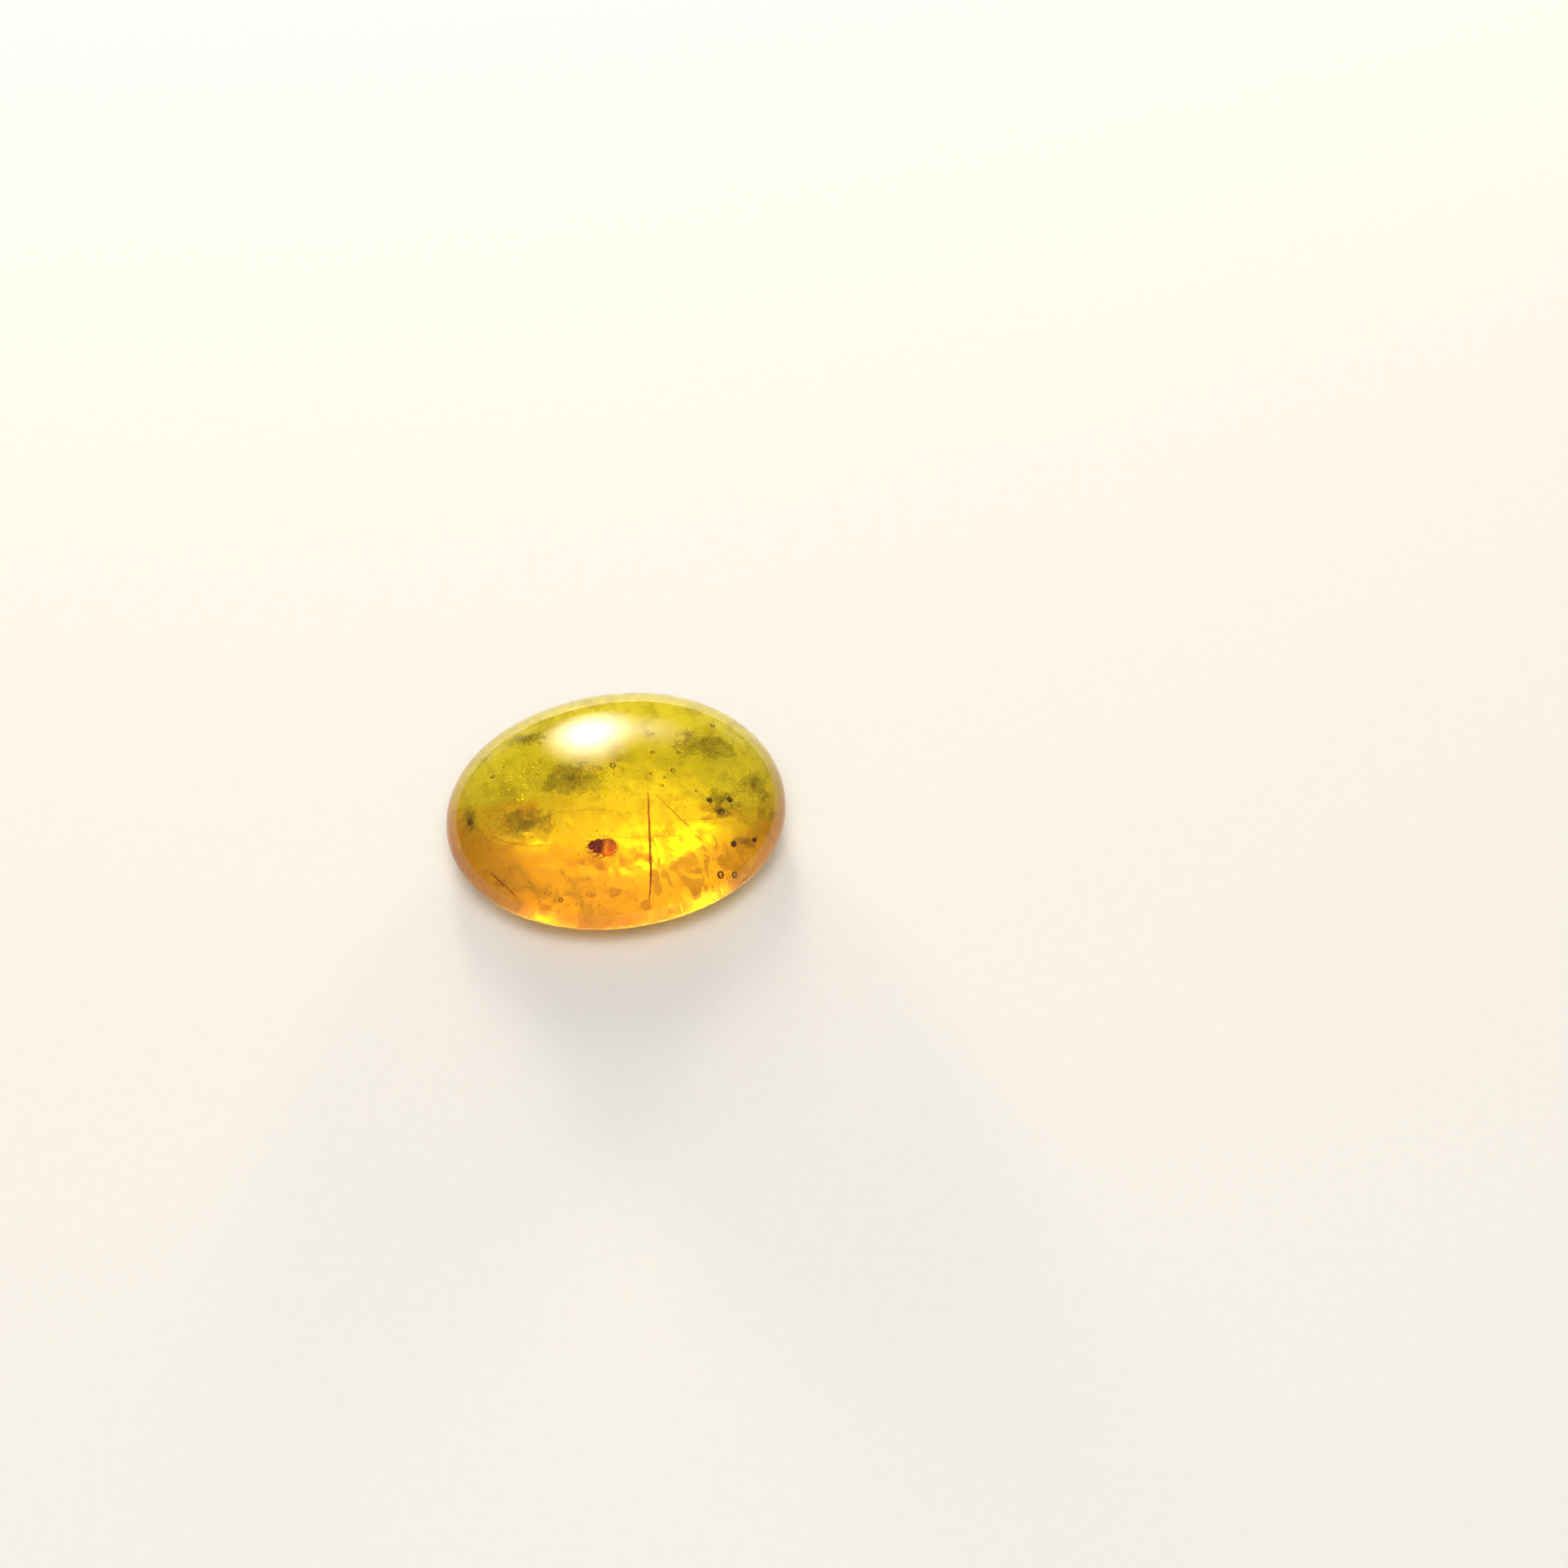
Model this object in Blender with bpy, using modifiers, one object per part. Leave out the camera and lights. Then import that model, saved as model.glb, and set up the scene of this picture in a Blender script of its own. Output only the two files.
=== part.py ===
"""An insect in amber: a polished oval stone, parted in two round the things sealed in it.

The stone lies on its flat base at z = 0, its centre above the origin, its length along X.
The two halves meet at a level plane, and each small inclusion lies on that plane in a pocket
that is open to it.
"""

import math
import random

import bmesh
import bpy
from mathutils import Matrix, Vector, noise

MM = 0.001

# The stone: an oval dome over a shallower belly, with a flat base.
STONE_LENGTH = 30.0 * MM
STONE_WIDTH = 27.2 * MM
GIRDLE_HEIGHT = 3.2 * MM
DOME_RISE = 6.0 * MM
BELLY_DROP = 3.5 * MM
OUTLINE_STEPS = 60
DOME_STEPS = 12
BELLY_STEPS = 7
# How a hand-polished outline strays from an ellipse: waves round it, cosine part, sine part.
OUTLINE_WAVES = ((1, -0.004, -0.003), (3, -0.003, 0.002), (4, -0.005, 0.002))

# Where the stone is parted, and the gap that the solids keep from each other.
PARTING_HEIGHT = 4.4 * MM
GAP = 0.3 * MM

# The insect: its place, the way that it heads, and the half sizes of its three body parts.
INSECT_PLACE = (-3.5 * MM, -5.4 * MM, PARTING_HEIGHT)
INSECT_HEADING = math.radians(147)
WING_CASES = {"centre": (-0.42, 0, 0), "half_sizes": (0.76, 0.86, 0.46)}
FORE_BODY = {"centre": (0.34, 0, -0.02), "half_sizes": (0.44, 0.70, 0.38)}
HEAD = {"centre": (0.82, 0, -0.06), "half_sizes": (0.30, 0.40, 0.26)}
SUTURE_RADIUS = 0.035
LEG_RADIUS = 0.065
FEELER_RADIUS = 0.045
# One side's legs, from the body to the claw, in millimetres from the insect's centre.
LEFT_LEGS = (
    ((0.45, 0.45, -0.22), (0.72, 0.76, -0.24), (1.00, 0.62, -0.34), (1.20, 0.70, -0.40)),
    ((0.12, 0.50, -0.24), (0.14, 0.90, -0.22), (0.34, 1.04, -0.36), (0.52, 1.10, -0.42)),
    ((-0.30, 0.50, -0.26), (-0.34, 0.96, -0.26), (-0.62, 1.08, -0.38), (-0.84, 1.10, -0.42)),
)
LEFT_FEELER = ((0.95, 0.20, 0.02), (1.12, 0.34, 0.07), (1.28, 0.38, 0.04), (1.38, 0.30, 0.02))
INSECT_POCKET = (2.05 * MM, 1.95 * MM, 1.05 * MM)

# The fibres: their routes on the parting plane, in millimetres, and their thickness.
LONG_FIBRE_ROUTE = (
    (2.20, -1.63), (1.40, -3.60), (0.47, -5.94), (-0.27, -7.85),
    (-0.86, -9.36), (-1.51, -10.88), (-2.05, -12.00),
)
SHORT_FIBRE_ROUTE = (
    (2.62, -2.04), (2.84, -2.82), (3.11, -3.84), (3.34, -4.65), (3.60, -5.56), (3.91, -6.20),
)
LONG_FIBRE_RADIUS = 0.075 * MM
SHORT_FIBRE_RADIUS = 0.055 * MM

# The crumbs of debris: where each lies on the parting plane, and its rough half size, in mm.
CRUMBS = (
    ((5.93, -2.95), 0.16),
    ((6.96, -5.65), 0.34),
    ((6.56, -4.20), 0.26),
    ((8.17, -4.67), 0.30),
    ((6.75, -9.09), 0.28),
    ((8.70, -9.20), 0.22),
    ((-12.20, 2.15), 0.28),
)
CRUMB_FLATNESS = 0.7
CRUMB_ROUGHNESS = 0.18
CRUMB_SEED = 7

# The clouds of dirt: where each lies on the parting plane, and its rough half sizes, in mm.
# They are ragged lumps that lie flat along one flow of the resin.
DIRT_CLOUDS = {
    "left": ((-8.1, -0.4), (2.5, 1.5, 0.3)),
    "middle": ((-2.9, 2.3), (2.9, 1.9, 0.3)),
    "right": ((10.9, -3.5), (1.15, 1.3, 0.3)),
    "back_left": ((-4.5, 8.3), (1.5, 1.0, 0.3)),
    "back_right": ((8.6, 1.6), (2.9, 1.8, 0.3)),
}
FLOW_TURN = math.radians(-24.5)
CLOUD_RAGGEDNESS = 0.22
CLOUD_LUMP_SIZE = 0.8

AMBER = (0.86, 0.42, 0.02, 1.0)
CHITIN = (0.16, 0.03, 0.008, 1.0)
FIBRE = (0.22, 0.05, 0.01, 1.0)
DEBRIS = (0.07, 0.04, 0.012, 1.0)


def clear_scene():
    for old in list(bpy.data.objects):
        bpy.data.objects.remove(old, do_unlink=True)


def make_collection(name):
    collection = bpy.data.collections.new(name)
    bpy.context.scene.collection.children.link(collection)
    return collection


def make_material(name, colour, roughness, transmission=0.0, ior=1.5):
    material = bpy.data.materials.new(name)
    material.use_nodes = True
    shader = material.node_tree.nodes["Principled BSDF"]
    shader.inputs["Base Color"].default_value = colour
    shader.inputs["Roughness"].default_value = roughness
    shader.inputs["Metallic"].default_value = 0.0
    shader.inputs["Transmission Weight"].default_value = transmission
    shader.inputs["IOR"].default_value = ior
    return material


def add_object(name, mesh, collection, material=None):
    """Put a mesh in a collection as an object, shaded smooth, with its material."""
    item = bpy.data.objects.new(name, mesh)
    collection.objects.link(item)
    mesh.shade_smooth()
    if material:
        mesh.materials.append(material)
    return item


def make_cutter(item):
    item.hide_render = True
    item.display_type = "WIRE"
    return item


def boolean(item, other, operation):
    step = item.modifiers.new(operation.lower() + "_" + other.name, "BOOLEAN")
    step.operation = operation
    step.solver = "EXACT"
    step.object = other


def millimetres(point):
    return Vector(point) * MM


def evaluated_mesh(item):
    """The item's mesh with its modifiers done, its touching points merged."""
    depsgraph = bpy.context.evaluated_depsgraph_get()
    mesh = bpy.data.meshes.new_from_object(item.evaluated_get(depsgraph))
    shape = bmesh.new()
    shape.from_mesh(mesh)
    bmesh.ops.remove_doubles(shape, verts=shape.verts, dist=0.000001)
    shape.to_mesh(mesh)
    shape.free()
    return mesh


def tube(name, points, radius, collection, material=None, taper=1.0):
    """A round rod along points in metres, its end taper times as thick as its start."""
    curve = bpy.data.curves.new(name + "_line", "CURVE")
    curve.dimensions = "3D"
    curve.bevel_depth = radius
    curve.bevel_resolution = 2
    curve.use_fill_caps = True
    line = curve.splines.new("POLY")
    line.points.add(len(points) - 1)
    for index, point in enumerate(points):
        line.points[index].co = (*point, 1.0)
        line.points[index].radius = 1.0 + (taper - 1.0) * index / (len(points) - 1)
    guide = bpy.data.objects.new(name + "_line", curve)
    collection.objects.link(guide)
    item = add_object(name, evaluated_mesh(guide), collection, material)
    bpy.data.objects.remove(guide, do_unlink=True)
    return item


def smooth_route(points, steps):
    """A Catmull-Rom curve through points, with so many steps between each two."""
    line = [points[0] * 2 - points[1], *points, points[-1] * 2 - points[-2]]
    route = []
    for a, b, c, d in zip(line, line[1:], line[2:], line[3:]):
        for step in range(steps):
            t = step / steps
            square = a * 2 - b * 5 + c * 4 - d
            cubic = b * 3 - a - c * 3 + d
            route.append((b * 2 + (c - a) * t + square * t ** 2 + cubic * t ** 3) / 2)
    route.append(points[-1])
    return route


def ellipsoid(name, centre, half_sizes, segments, collection, material=None):
    mesh = bpy.data.meshes.new(name)
    shape = bmesh.new()
    bmesh.ops.create_uvsphere(shape, u_segments=segments, v_segments=segments // 2, radius=1.0)
    for vert in shape.verts:
        vert.co = Vector(centre) + vert.co * Vector(half_sizes)
    shape.to_mesh(mesh)
    shape.free()
    return add_object(name, mesh, collection, material)


def box(name, low, high, collection):
    mesh = bpy.data.meshes.new(name)
    shape = bmesh.new()
    bmesh.ops.create_cube(shape, size=1.0)
    middle = (Vector(low) + Vector(high)) / 2
    size = Vector(high) - Vector(low)
    for vert in shape.verts:
        vert.co = middle + vert.co * size
    shape.to_mesh(mesh)
    shape.free()
    return add_object(name, mesh, collection)


def outline_radius(angle):
    """How far the stone's outline lies from its middle at an angle in plan."""
    along = math.cos(angle) / (STONE_LENGTH / 2)
    across = math.sin(angle) / (STONE_WIDTH / 2)
    waves = sum(c * math.cos(n * angle) + s * math.sin(n * angle) for n, c, s in OUTLINE_WAVES)
    return (1 + waves) / math.hypot(along, across)


def stone_profile():
    """The stone's section from its top down its outer side to its base, at a radius of 1."""
    dome = [math.radians(90) * step / DOME_STEPS for step in range(DOME_STEPS + 1)]
    points = [(math.sin(a), GIRDLE_HEIGHT + DOME_RISE * math.cos(a)) for a in dome]
    flat = math.acos(GIRDLE_HEIGHT / BELLY_DROP)
    for step in range(1, BELLY_STEPS + 1):
        angle = math.radians(90) + (flat - math.radians(90)) * step / BELLY_STEPS
        points.append((math.sin(angle), GIRDLE_HEIGHT - BELLY_DROP * math.cos(angle)))
    points.append((0.0, 0.0))
    return points


def make_stone(collection):
    """The whole stone: its section turned round, pushed out to the outline, and centred."""
    section = stone_profile()
    mesh = bpy.data.meshes.new("section")
    edges = [(index, index + 1) for index in range(len(section) - 1)]
    mesh.from_pydata([(radius, 0.0, height) for radius, height in section], edges, [])
    turned = bpy.data.objects.new("section", mesh)
    collection.objects.link(turned)
    screw = turned.modifiers.new("turn", "SCREW")
    screw.axis = "Z"
    screw.steps = OUTLINE_STEPS
    screw.render_steps = OUTLINE_STEPS
    screw.use_merge_vertices = True
    screw.merge_threshold = 0.000001
    stone = add_object("stone", evaluated_mesh(turned), collection)
    bpy.data.objects.remove(turned, do_unlink=True)
    for vert in stone.data.vertices:
        reach = outline_radius(math.atan2(vert.co.y, vert.co.x))
        vert.co.x *= reach
        vert.co.y *= reach
    for axis, size in ((0, STONE_LENGTH), (1, STONE_WIDTH)):
        low = min(vert.co[axis] for vert in stone.data.vertices)
        high = max(vert.co[axis] for vert in stone.data.vertices)
        for vert in stone.data.vertices:
            vert.co[axis] = (vert.co[axis] - (low + high) / 2) * size / (high - low)
    return make_cutter(stone)


def make_half(name, stone, low, high, pockets, parts, cutters, material):
    """One half of the stone: all of it between two heights, less the pockets."""
    half = add_object(name, stone.data.copy(), parts, material)
    reach = STONE_LENGTH
    slab = make_cutter(box(name + "_slab", (-reach, -reach, low), (reach, reach, high), cutters))
    boolean(half, slab, "INTERSECT")
    for pocket in pockets:
        boolean(half, pocket, "DIFFERENCE")
    return half


def make_insect(parts, cutters, material):
    """The insect about its own centre, heading along X, then turned and set in its place."""
    place = bpy.data.objects.new("insect_place", None)
    parts.objects.link(place)
    place.location = INSECT_PLACE
    place.rotation_euler.z = INSECT_HEADING

    insect = ellipsoid("insect", millimetres(WING_CASES["centre"]),
                       millimetres(WING_CASES["half_sizes"]), 28, parts, material)
    others = []
    for name, shape, segments in (("fore_body", FORE_BODY, 24), ("head", HEAD, 20)):
        others.append(ellipsoid(name, millimetres(shape["centre"]),
                                millimetres(shape["half_sizes"]), segments, cutters))
    limbs = [("leg_%d" % index, leg, LEG_RADIUS, 0.6) for index, leg in enumerate(LEFT_LEGS)]
    limbs.append(("feeler", LEFT_FEELER, FEELER_RADIUS, 1.5))
    for name, route, radius, taper in limbs:
        for side, sign in (("left", 1), ("right", -1)):
            points = [millimetres((x, y * sign, z)) for x, y, z in route]
            others.append(tube(name + "_" + side, points, radius * MM, cutters, taper=taper))
    for other in others:
        boolean(insect, make_cutter(other), "UNION")

    suture = make_cutter(tube("suture", suture_route(), SUTURE_RADIUS * MM, cutters))
    boolean(insect, suture, "DIFFERENCE")
    for item in (insect, suture, *others):
        item.parent = place
    return insect


def suture_route():
    """The seam between the wing cases, along the top of their ellipse from front to tail."""
    middle = millimetres(WING_CASES["centre"])
    half_length, _, half_height = millimetres(WING_CASES["half_sizes"])
    angles = [math.radians(60 + 10 * step) for step in range(12)]
    return [middle + Vector((half_length * math.cos(a), 0, half_height * math.sin(a))) for a in angles]


def on_parting(x, y):
    return Vector((x * MM, y * MM, PARTING_HEIGHT))


def make_fibre(name, route, radius, parts, cutters, material):
    """A fibre along the parting plane, and the channel that leaves a gap round it."""
    points = smooth_route([on_parting(x, y) for x, y in route], 3)
    tube(name, points, radius, parts, material)
    start, end = points[0], points[-1]
    longer = [start + (start - points[1]).normalized() * GAP, *points,
              end + (end - points[-2]).normalized() * GAP]
    return make_cutter(tube(name + "_channel", longer, radius + GAP, cutters))


def make_crumb(name, place, half_size, parts, cutters, material, chance):
    """An irregular flattened crumb, and the round pocket that leaves a gap about it."""
    centre = on_parting(*place)
    shape = bmesh.new()
    bmesh.ops.create_icosphere(shape, subdivisions=2, radius=half_size * MM)
    for vert in shape.verts:
        swell = 1 + chance.uniform(-CRUMB_ROUGHNESS, CRUMB_ROUGHNESS)
        vert.co = centre + vert.co * Vector((swell, swell, swell * CRUMB_FLATNESS))
    mesh = bpy.data.meshes.new(name)
    shape.to_mesh(mesh)
    shape.free()
    add_object(name, mesh, parts, material)
    reach = half_size * MM * (1 + CRUMB_ROUGHNESS) + GAP
    return make_cutter(ellipsoid(name + "_pocket", centre, (reach, reach, reach), 10, cutters))


def make_cloud(name, place, half_sizes, parts, cutters, material):
    """A cloud of dirt as one ragged flat lump, and the smooth pocket that leaves a gap about it."""
    turn = Matrix.Translation(on_parting(*place)) @ Matrix.Rotation(FLOW_TURN, 4, "Z")
    cloud = ellipsoid(name, (0, 0, 0), millimetres(half_sizes), 18, parts, material)
    for vert in cloud.data.vertices:
        swell = noise.noise(vert.co / (CLOUD_LUMP_SIZE * MM) + Vector((*place, 0)))
        vert.co = turn @ (vert.co * (1 + CLOUD_RAGGEDNESS * swell))
    reach = [half * MM * (1 + CLOUD_RAGGEDNESS) + GAP for half in half_sizes]
    pocket = ellipsoid(name + "_pocket", (0, 0, 0), reach, 14, cutters)
    pocket.data.transform(turn)
    return make_cutter(pocket)


def main():
    clear_scene()
    parts = make_collection("insect_in_amber")
    cutters = make_collection("cutters")
    cutters.hide_render = True
    amber = make_material("amber", AMBER, 0.04, transmission=1.0, ior=1.54)
    fibre = make_material("fibre", FIBRE, 0.5)
    debris = make_material("debris", DEBRIS, 0.8)

    make_insect(parts, cutters, make_material("chitin", CHITIN, 0.3))
    pockets = [make_cutter(ellipsoid("insect_pocket", INSECT_PLACE, INSECT_POCKET, 20, cutters))]
    for name, route, radius in (
        ("long_fibre", LONG_FIBRE_ROUTE, LONG_FIBRE_RADIUS),
        ("short_fibre", SHORT_FIBRE_ROUTE, SHORT_FIBRE_RADIUS),
    ):
        pockets.append(make_fibre(name, route, radius, parts, cutters, fibre))
    chance = random.Random(CRUMB_SEED)
    for number, (place, half_size) in enumerate(CRUMBS, start=1):
        name = "debris_crumb_%d" % number
        pockets.append(make_crumb(name, place, half_size, parts, cutters, debris, chance))

    for name, (place, half_sizes) in DIRT_CLOUDS.items():
        name = "dirt_cloud_" + name
        pockets.append(make_cloud(name, place, half_sizes, parts, cutters, debris))

    stone = make_stone(cutters)
    top = GIRDLE_HEIGHT + DOME_RISE + GAP
    make_half("amber_upper", stone, PARTING_HEIGHT + GAP / 2, top, pockets, parts, cutters, amber)
    make_half("amber_lower", stone, -GAP, PARTING_HEIGHT - GAP / 2, pockets, parts, cutters, amber)


main()
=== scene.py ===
# %% [markdown]
# # An insect in amber
#
# A polished oval of fossil resin, 30 mm long, lies on a pale table. A small beetle, two fibres,
# crumbs of bark, bubbles and clouds of fine dirt are sealed in it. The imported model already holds
# the solids: the stone, parted in two round the things in it, and those things themselves. This
# script dresses them. It gives the stone one clear skin, and puts the fine things inside it.

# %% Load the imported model
import math

import bmesh
import bpy
from mathutils import Matrix, Vector, noise


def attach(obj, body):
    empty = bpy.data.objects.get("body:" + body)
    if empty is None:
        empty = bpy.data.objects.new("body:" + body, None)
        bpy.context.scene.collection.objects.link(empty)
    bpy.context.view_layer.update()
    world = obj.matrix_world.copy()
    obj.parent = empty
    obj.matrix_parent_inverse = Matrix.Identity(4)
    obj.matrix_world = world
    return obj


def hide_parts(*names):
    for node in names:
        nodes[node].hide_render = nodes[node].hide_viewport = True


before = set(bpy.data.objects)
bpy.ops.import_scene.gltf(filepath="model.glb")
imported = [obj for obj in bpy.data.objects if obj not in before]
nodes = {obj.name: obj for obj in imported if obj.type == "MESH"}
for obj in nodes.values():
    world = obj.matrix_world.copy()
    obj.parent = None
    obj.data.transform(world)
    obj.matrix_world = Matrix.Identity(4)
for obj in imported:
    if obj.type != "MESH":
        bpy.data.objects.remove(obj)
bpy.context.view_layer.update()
MM = 0.001
print("nodes:", sorted(nodes))

# %% [markdown]
# ## The rule of the stone
#
# A hand-polished stone is nearly an oval dome over a shallower belly. Its section is a quarter
# ellipse above the girdle and part of another below it, cut off by the flat base, and its outline
# is an oval with slight waves. It could be drawn point by point, but a rule does more: the same
# one makes the skin, finds where a line of sight enters the stone, and keeps every grain inside
# it. So it is written once, as a level: below 1 is inside.

# %% The stone's rule
STONE_LENGTH, STONE_WIDTH = 30.0 * MM, 27.2 * MM
GIRDLE_HEIGHT, DOME_RISE, BELLY_DROP = 3.2 * MM, 6.0 * MM, 3.5 * MM
OUTLINE_WAVES = ((1, -0.004, -0.003), (3, -0.003, 0.002), (4, -0.005, 0.002))
OUTLINE_STEPS = 720
AMBER_IOR = 1.54


def wavy_oval(angle):
    """How far the outline lies from its middle at an angle in plan, before it is centred."""
    waves = sum(c * math.cos(n * angle) + s * math.sin(n * angle) for n, c, s in OUTLINE_WAVES)
    return (1 + waves) / math.hypot(math.cos(angle) / (STONE_LENGTH / 2),
                                    math.sin(angle) / (STONE_WIDTH / 2))


def outline_fit():
    """The wavy oval's middle, and how much it is scaled to have the stone's length and width."""
    ring = [math.tau * step / OUTLINE_STEPS for step in range(OUTLINE_STEPS)]
    along = [wavy_oval(a) * math.cos(a) for a in ring]
    across = [wavy_oval(a) * math.sin(a) for a in ring]
    middle = Vector(((min(along) + max(along)) / 2, (min(across) + max(across)) / 2, 0))
    scale = Vector((STONE_LENGTH / (max(along) - min(along)),
                    STONE_WIDTH / (max(across) - min(across)), 1))
    return middle, scale


OUTLINE_MIDDLE, OUTLINE_SCALE = outline_fit()


def stone_point(angle, radius, height):
    """A point at an angle in plan, a share of the way out to the outline, and a height."""
    reach = wavy_oval(angle) * radius
    flat = Vector((reach * math.cos(angle), reach * math.sin(angle), 0))
    return (flat - OUTLINE_MIDDLE) * OUTLINE_SCALE + Vector((0, 0, height))


def stone_level(point):
    """Below 1 inside the dome and the belly, and above 1 outside them."""
    x = point.x / OUTLINE_SCALE.x + OUTLINE_MIDDLE.x
    y = point.y / OUTLINE_SCALE.y + OUTLINE_MIDDLE.y
    radius = math.hypot(x, y) / wavy_oval(math.atan2(y, x))
    rise = point.z - GIRDLE_HEIGHT
    return math.hypot(radius, rise / (DOME_RISE if rise > 0 else BELLY_DROP))


print("outline middle and scale:", OUTLINE_MIDDLE, OUTLINE_SCALE)

# %% [markdown]
# ## The camera
#
# A long lens looks down from well above the table, so that the dome, the things in it and the
# front edge all show, and the outline isn't stretched as a near, wide lens would stretch it. The
# camera's directions are kept as vectors, because they also say where the lights stand.

# %% The camera
CAMERA_HEIGHT_ANGLE = math.radians(44.0)
CAMERA_TURN = math.radians(-24.467)
CAMERA_DISTANCE = 330.7 * MM
AIM_RIGHT, AIM_AWAY = 14.62 * MM, 6.87 * MM
LENS, SENSOR = 85.0, 36.0
VIEW_WIDTH = 1932

to_camera = Vector((math.sin(CAMERA_TURN) * math.cos(CAMERA_HEIGHT_ANGLE),
                    -math.cos(CAMERA_TURN) * math.cos(CAMERA_HEIGHT_ANGLE),
                    math.sin(CAMERA_HEIGHT_ANGLE)))
rightward = Vector((math.cos(CAMERA_TURN), math.sin(CAMERA_TURN), 0))
away = Vector((-math.sin(CAMERA_TURN), math.cos(CAMERA_TURN), 0))

camera_data = bpy.data.cameras.new("camera")
camera_data.lens, camera_data.sensor_width = LENS, SENSOR
camera_data.clip_start = 0.01
camera = bpy.data.objects.new("camera", camera_data)
bpy.context.collection.objects.link(camera)
camera.location = rightward * AIM_RIGHT + away * AIM_AWAY + to_camera * CAMERA_DISTANCE
camera.rotation_euler = to_camera.to_track_quat("Z", "Y").to_euler()
bpy.context.scene.camera = camera
print("camera at", [round(v, 4) for v in camera.location])

# %% [markdown]
# ## Where a spot of the view lies inside the stone
#
# The dome bends what is seen through it, so a thing can't be placed by eye alone. A line of sight
# is followed to the dome, bent there by Snell's law, and carried on to the height at which the
# thing lies. Each thing then stands in one place inside the stone, from whatever side it is seen.

# %% Follow a line of sight into the stone
SEARCH_REACH, SEARCH_STEP, HALVINGS = 30 * MM, 0.1 * MM, 20
SLOPE_STEP = 0.01 * MM
BEETLE_SPOT = (742, 1043)
camera_upward = to_camera.cross(rightward)


def outward(point):
    """The stone's outward direction at a point on its surface, from the slope of its level."""
    return Vector([stone_level(point + Vector(axis) * SLOPE_STEP)
                   - stone_level(point - Vector(axis) * SLOPE_STEP)
                   for axis in ((1, 0, 0), (0, 1, 0), (0, 0, 1))]).normalized()


def inside_at(spot, height_mm):
    """The point inside the stone that shows at a spot of the view, at a height above the base."""
    scale = LENS / SENSOR * VIEW_WIDTH
    across, up = (spot[0] - VIEW_WIDTH / 2) / scale, (VIEW_WIDTH / 2 - spot[1]) / scale
    ray = (rightward * across + camera_upward * up - to_camera).normalized()
    near = CAMERA_DISTANCE - SEARCH_REACH
    while stone_level(camera.location + ray * near) > 1 and near < CAMERA_DISTANCE + SEARCH_REACH:
        near += SEARCH_STEP
    low, high = near - SEARCH_STEP, near
    for _ in range(HALVINGS):
        middle = (low + high) / 2
        outside = stone_level(camera.location + ray * middle) > 1
        low, high = (middle, high) if outside else (low, middle)
    entry = camera.location + ray * high
    normal = outward(entry)
    facing = normal.dot(ray)
    bend = 1 / AMBER_IOR
    inner = ray * bend - normal * (bend * facing + math.sqrt(1 - bend ** 2 * (1 - facing ** 2)))
    return entry + inner * ((height_mm * MM - entry.z) / inner.z)


print("the beetle's spot is at", [round(v / MM, 2) for v in inside_at(BEETLE_SPOT, 4.4)])

# %% [markdown]
# ## Helpers for nodes
#
# Every finish, light and tree below is a net of nodes. Wiring them one by one takes many lines,
# so a few helpers name the steps that come again: a sum, a noise, a range that is carried to
# another, a blend of two colours, and a run through several.

# %% Helpers for nodes
def new_material(name):
    """A material with nodes, its shader and its tree."""
    material = bpy.data.materials.new(name)
    material.use_nodes = True
    return material, material.node_tree.nodes["Principled BSDF"], material.node_tree


def add_node(tree, kind, inputs=(), **settings):
    """Add a node, set its settings, and set or link its inputs by name or number."""
    made = tree.nodes.new(kind)
    for key, value in settings.items():
        setattr(made, key, value)
    for key, value in dict(inputs).items():
        if isinstance(value, bpy.types.NodeSocket):
            tree.links.new(value, made.inputs[key])
        else:
            made.inputs[key].default_value = value
    return made


def calc(tree, operation, *values):
    """The result of a sum on numbers."""
    return add_node(tree, "ShaderNodeMath", dict(enumerate(values)), operation=operation).outputs[0]


def vector_calc(tree, operation, first, second=None):
    """The result of a sum on vectors: a vector, or a number where the sum gives one."""
    sockets = {0: first}
    if second is not None:
        sockets[3 if operation == "SCALE" else 1] = second
    made = add_node(tree, "ShaderNodeVectorMath", sockets, operation=operation)
    return made.outputs["Value" if operation in ("LENGTH", "DISTANCE", "DOT_PRODUCT") else "Vector"]


def own_place(tree):
    """The place on a piece, which on a piece at the origin is its place in the stone."""
    return add_node(tree, "ShaderNodeTexCoord").outputs["Object"]


def cloudy(tree, place, scale, detail, roughness=0.5, distortion=0.0):
    """A cloudy noise about 0.5, with so many lumps to the metre."""
    return add_node(tree, "ShaderNodeTexNoise", {
        "Vector": place, "Scale": scale, "Detail": detail, "Roughness": roughness,
        "Distortion": distortion}).outputs[0]


def carried(tree, value, ends, results=(0.0, 1.0), eased=True):
    """Carry a value from one range to another; it is held at the ends, and eased between them."""
    return add_node(tree, "ShaderNodeMapRange", {
        "Value": value, "From Min": ends[0], "From Max": ends[1], "To Min": results[0],
        "To Max": results[1]}, interpolation_type="SMOOTHSTEP" if eased else "LINEAR").outputs[0]


def between(tree, share, one, two):
    """A number that goes from one to the other as a share goes from 0 to 1."""
    return add_node(tree, "ShaderNodeMix", {0: share, 2: one, 3: two}).outputs[0]


def blended(tree, share, one, two):
    """A colour that goes from one to the other as a share goes from 0 to 1."""
    one, two = [(*c, 1) if isinstance(c, tuple) else c for c in (one, two)]
    return add_node(tree, "ShaderNodeMixRGB", {"Fac": share, "Color1": one, "Color2": two}).outputs[0]


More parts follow.
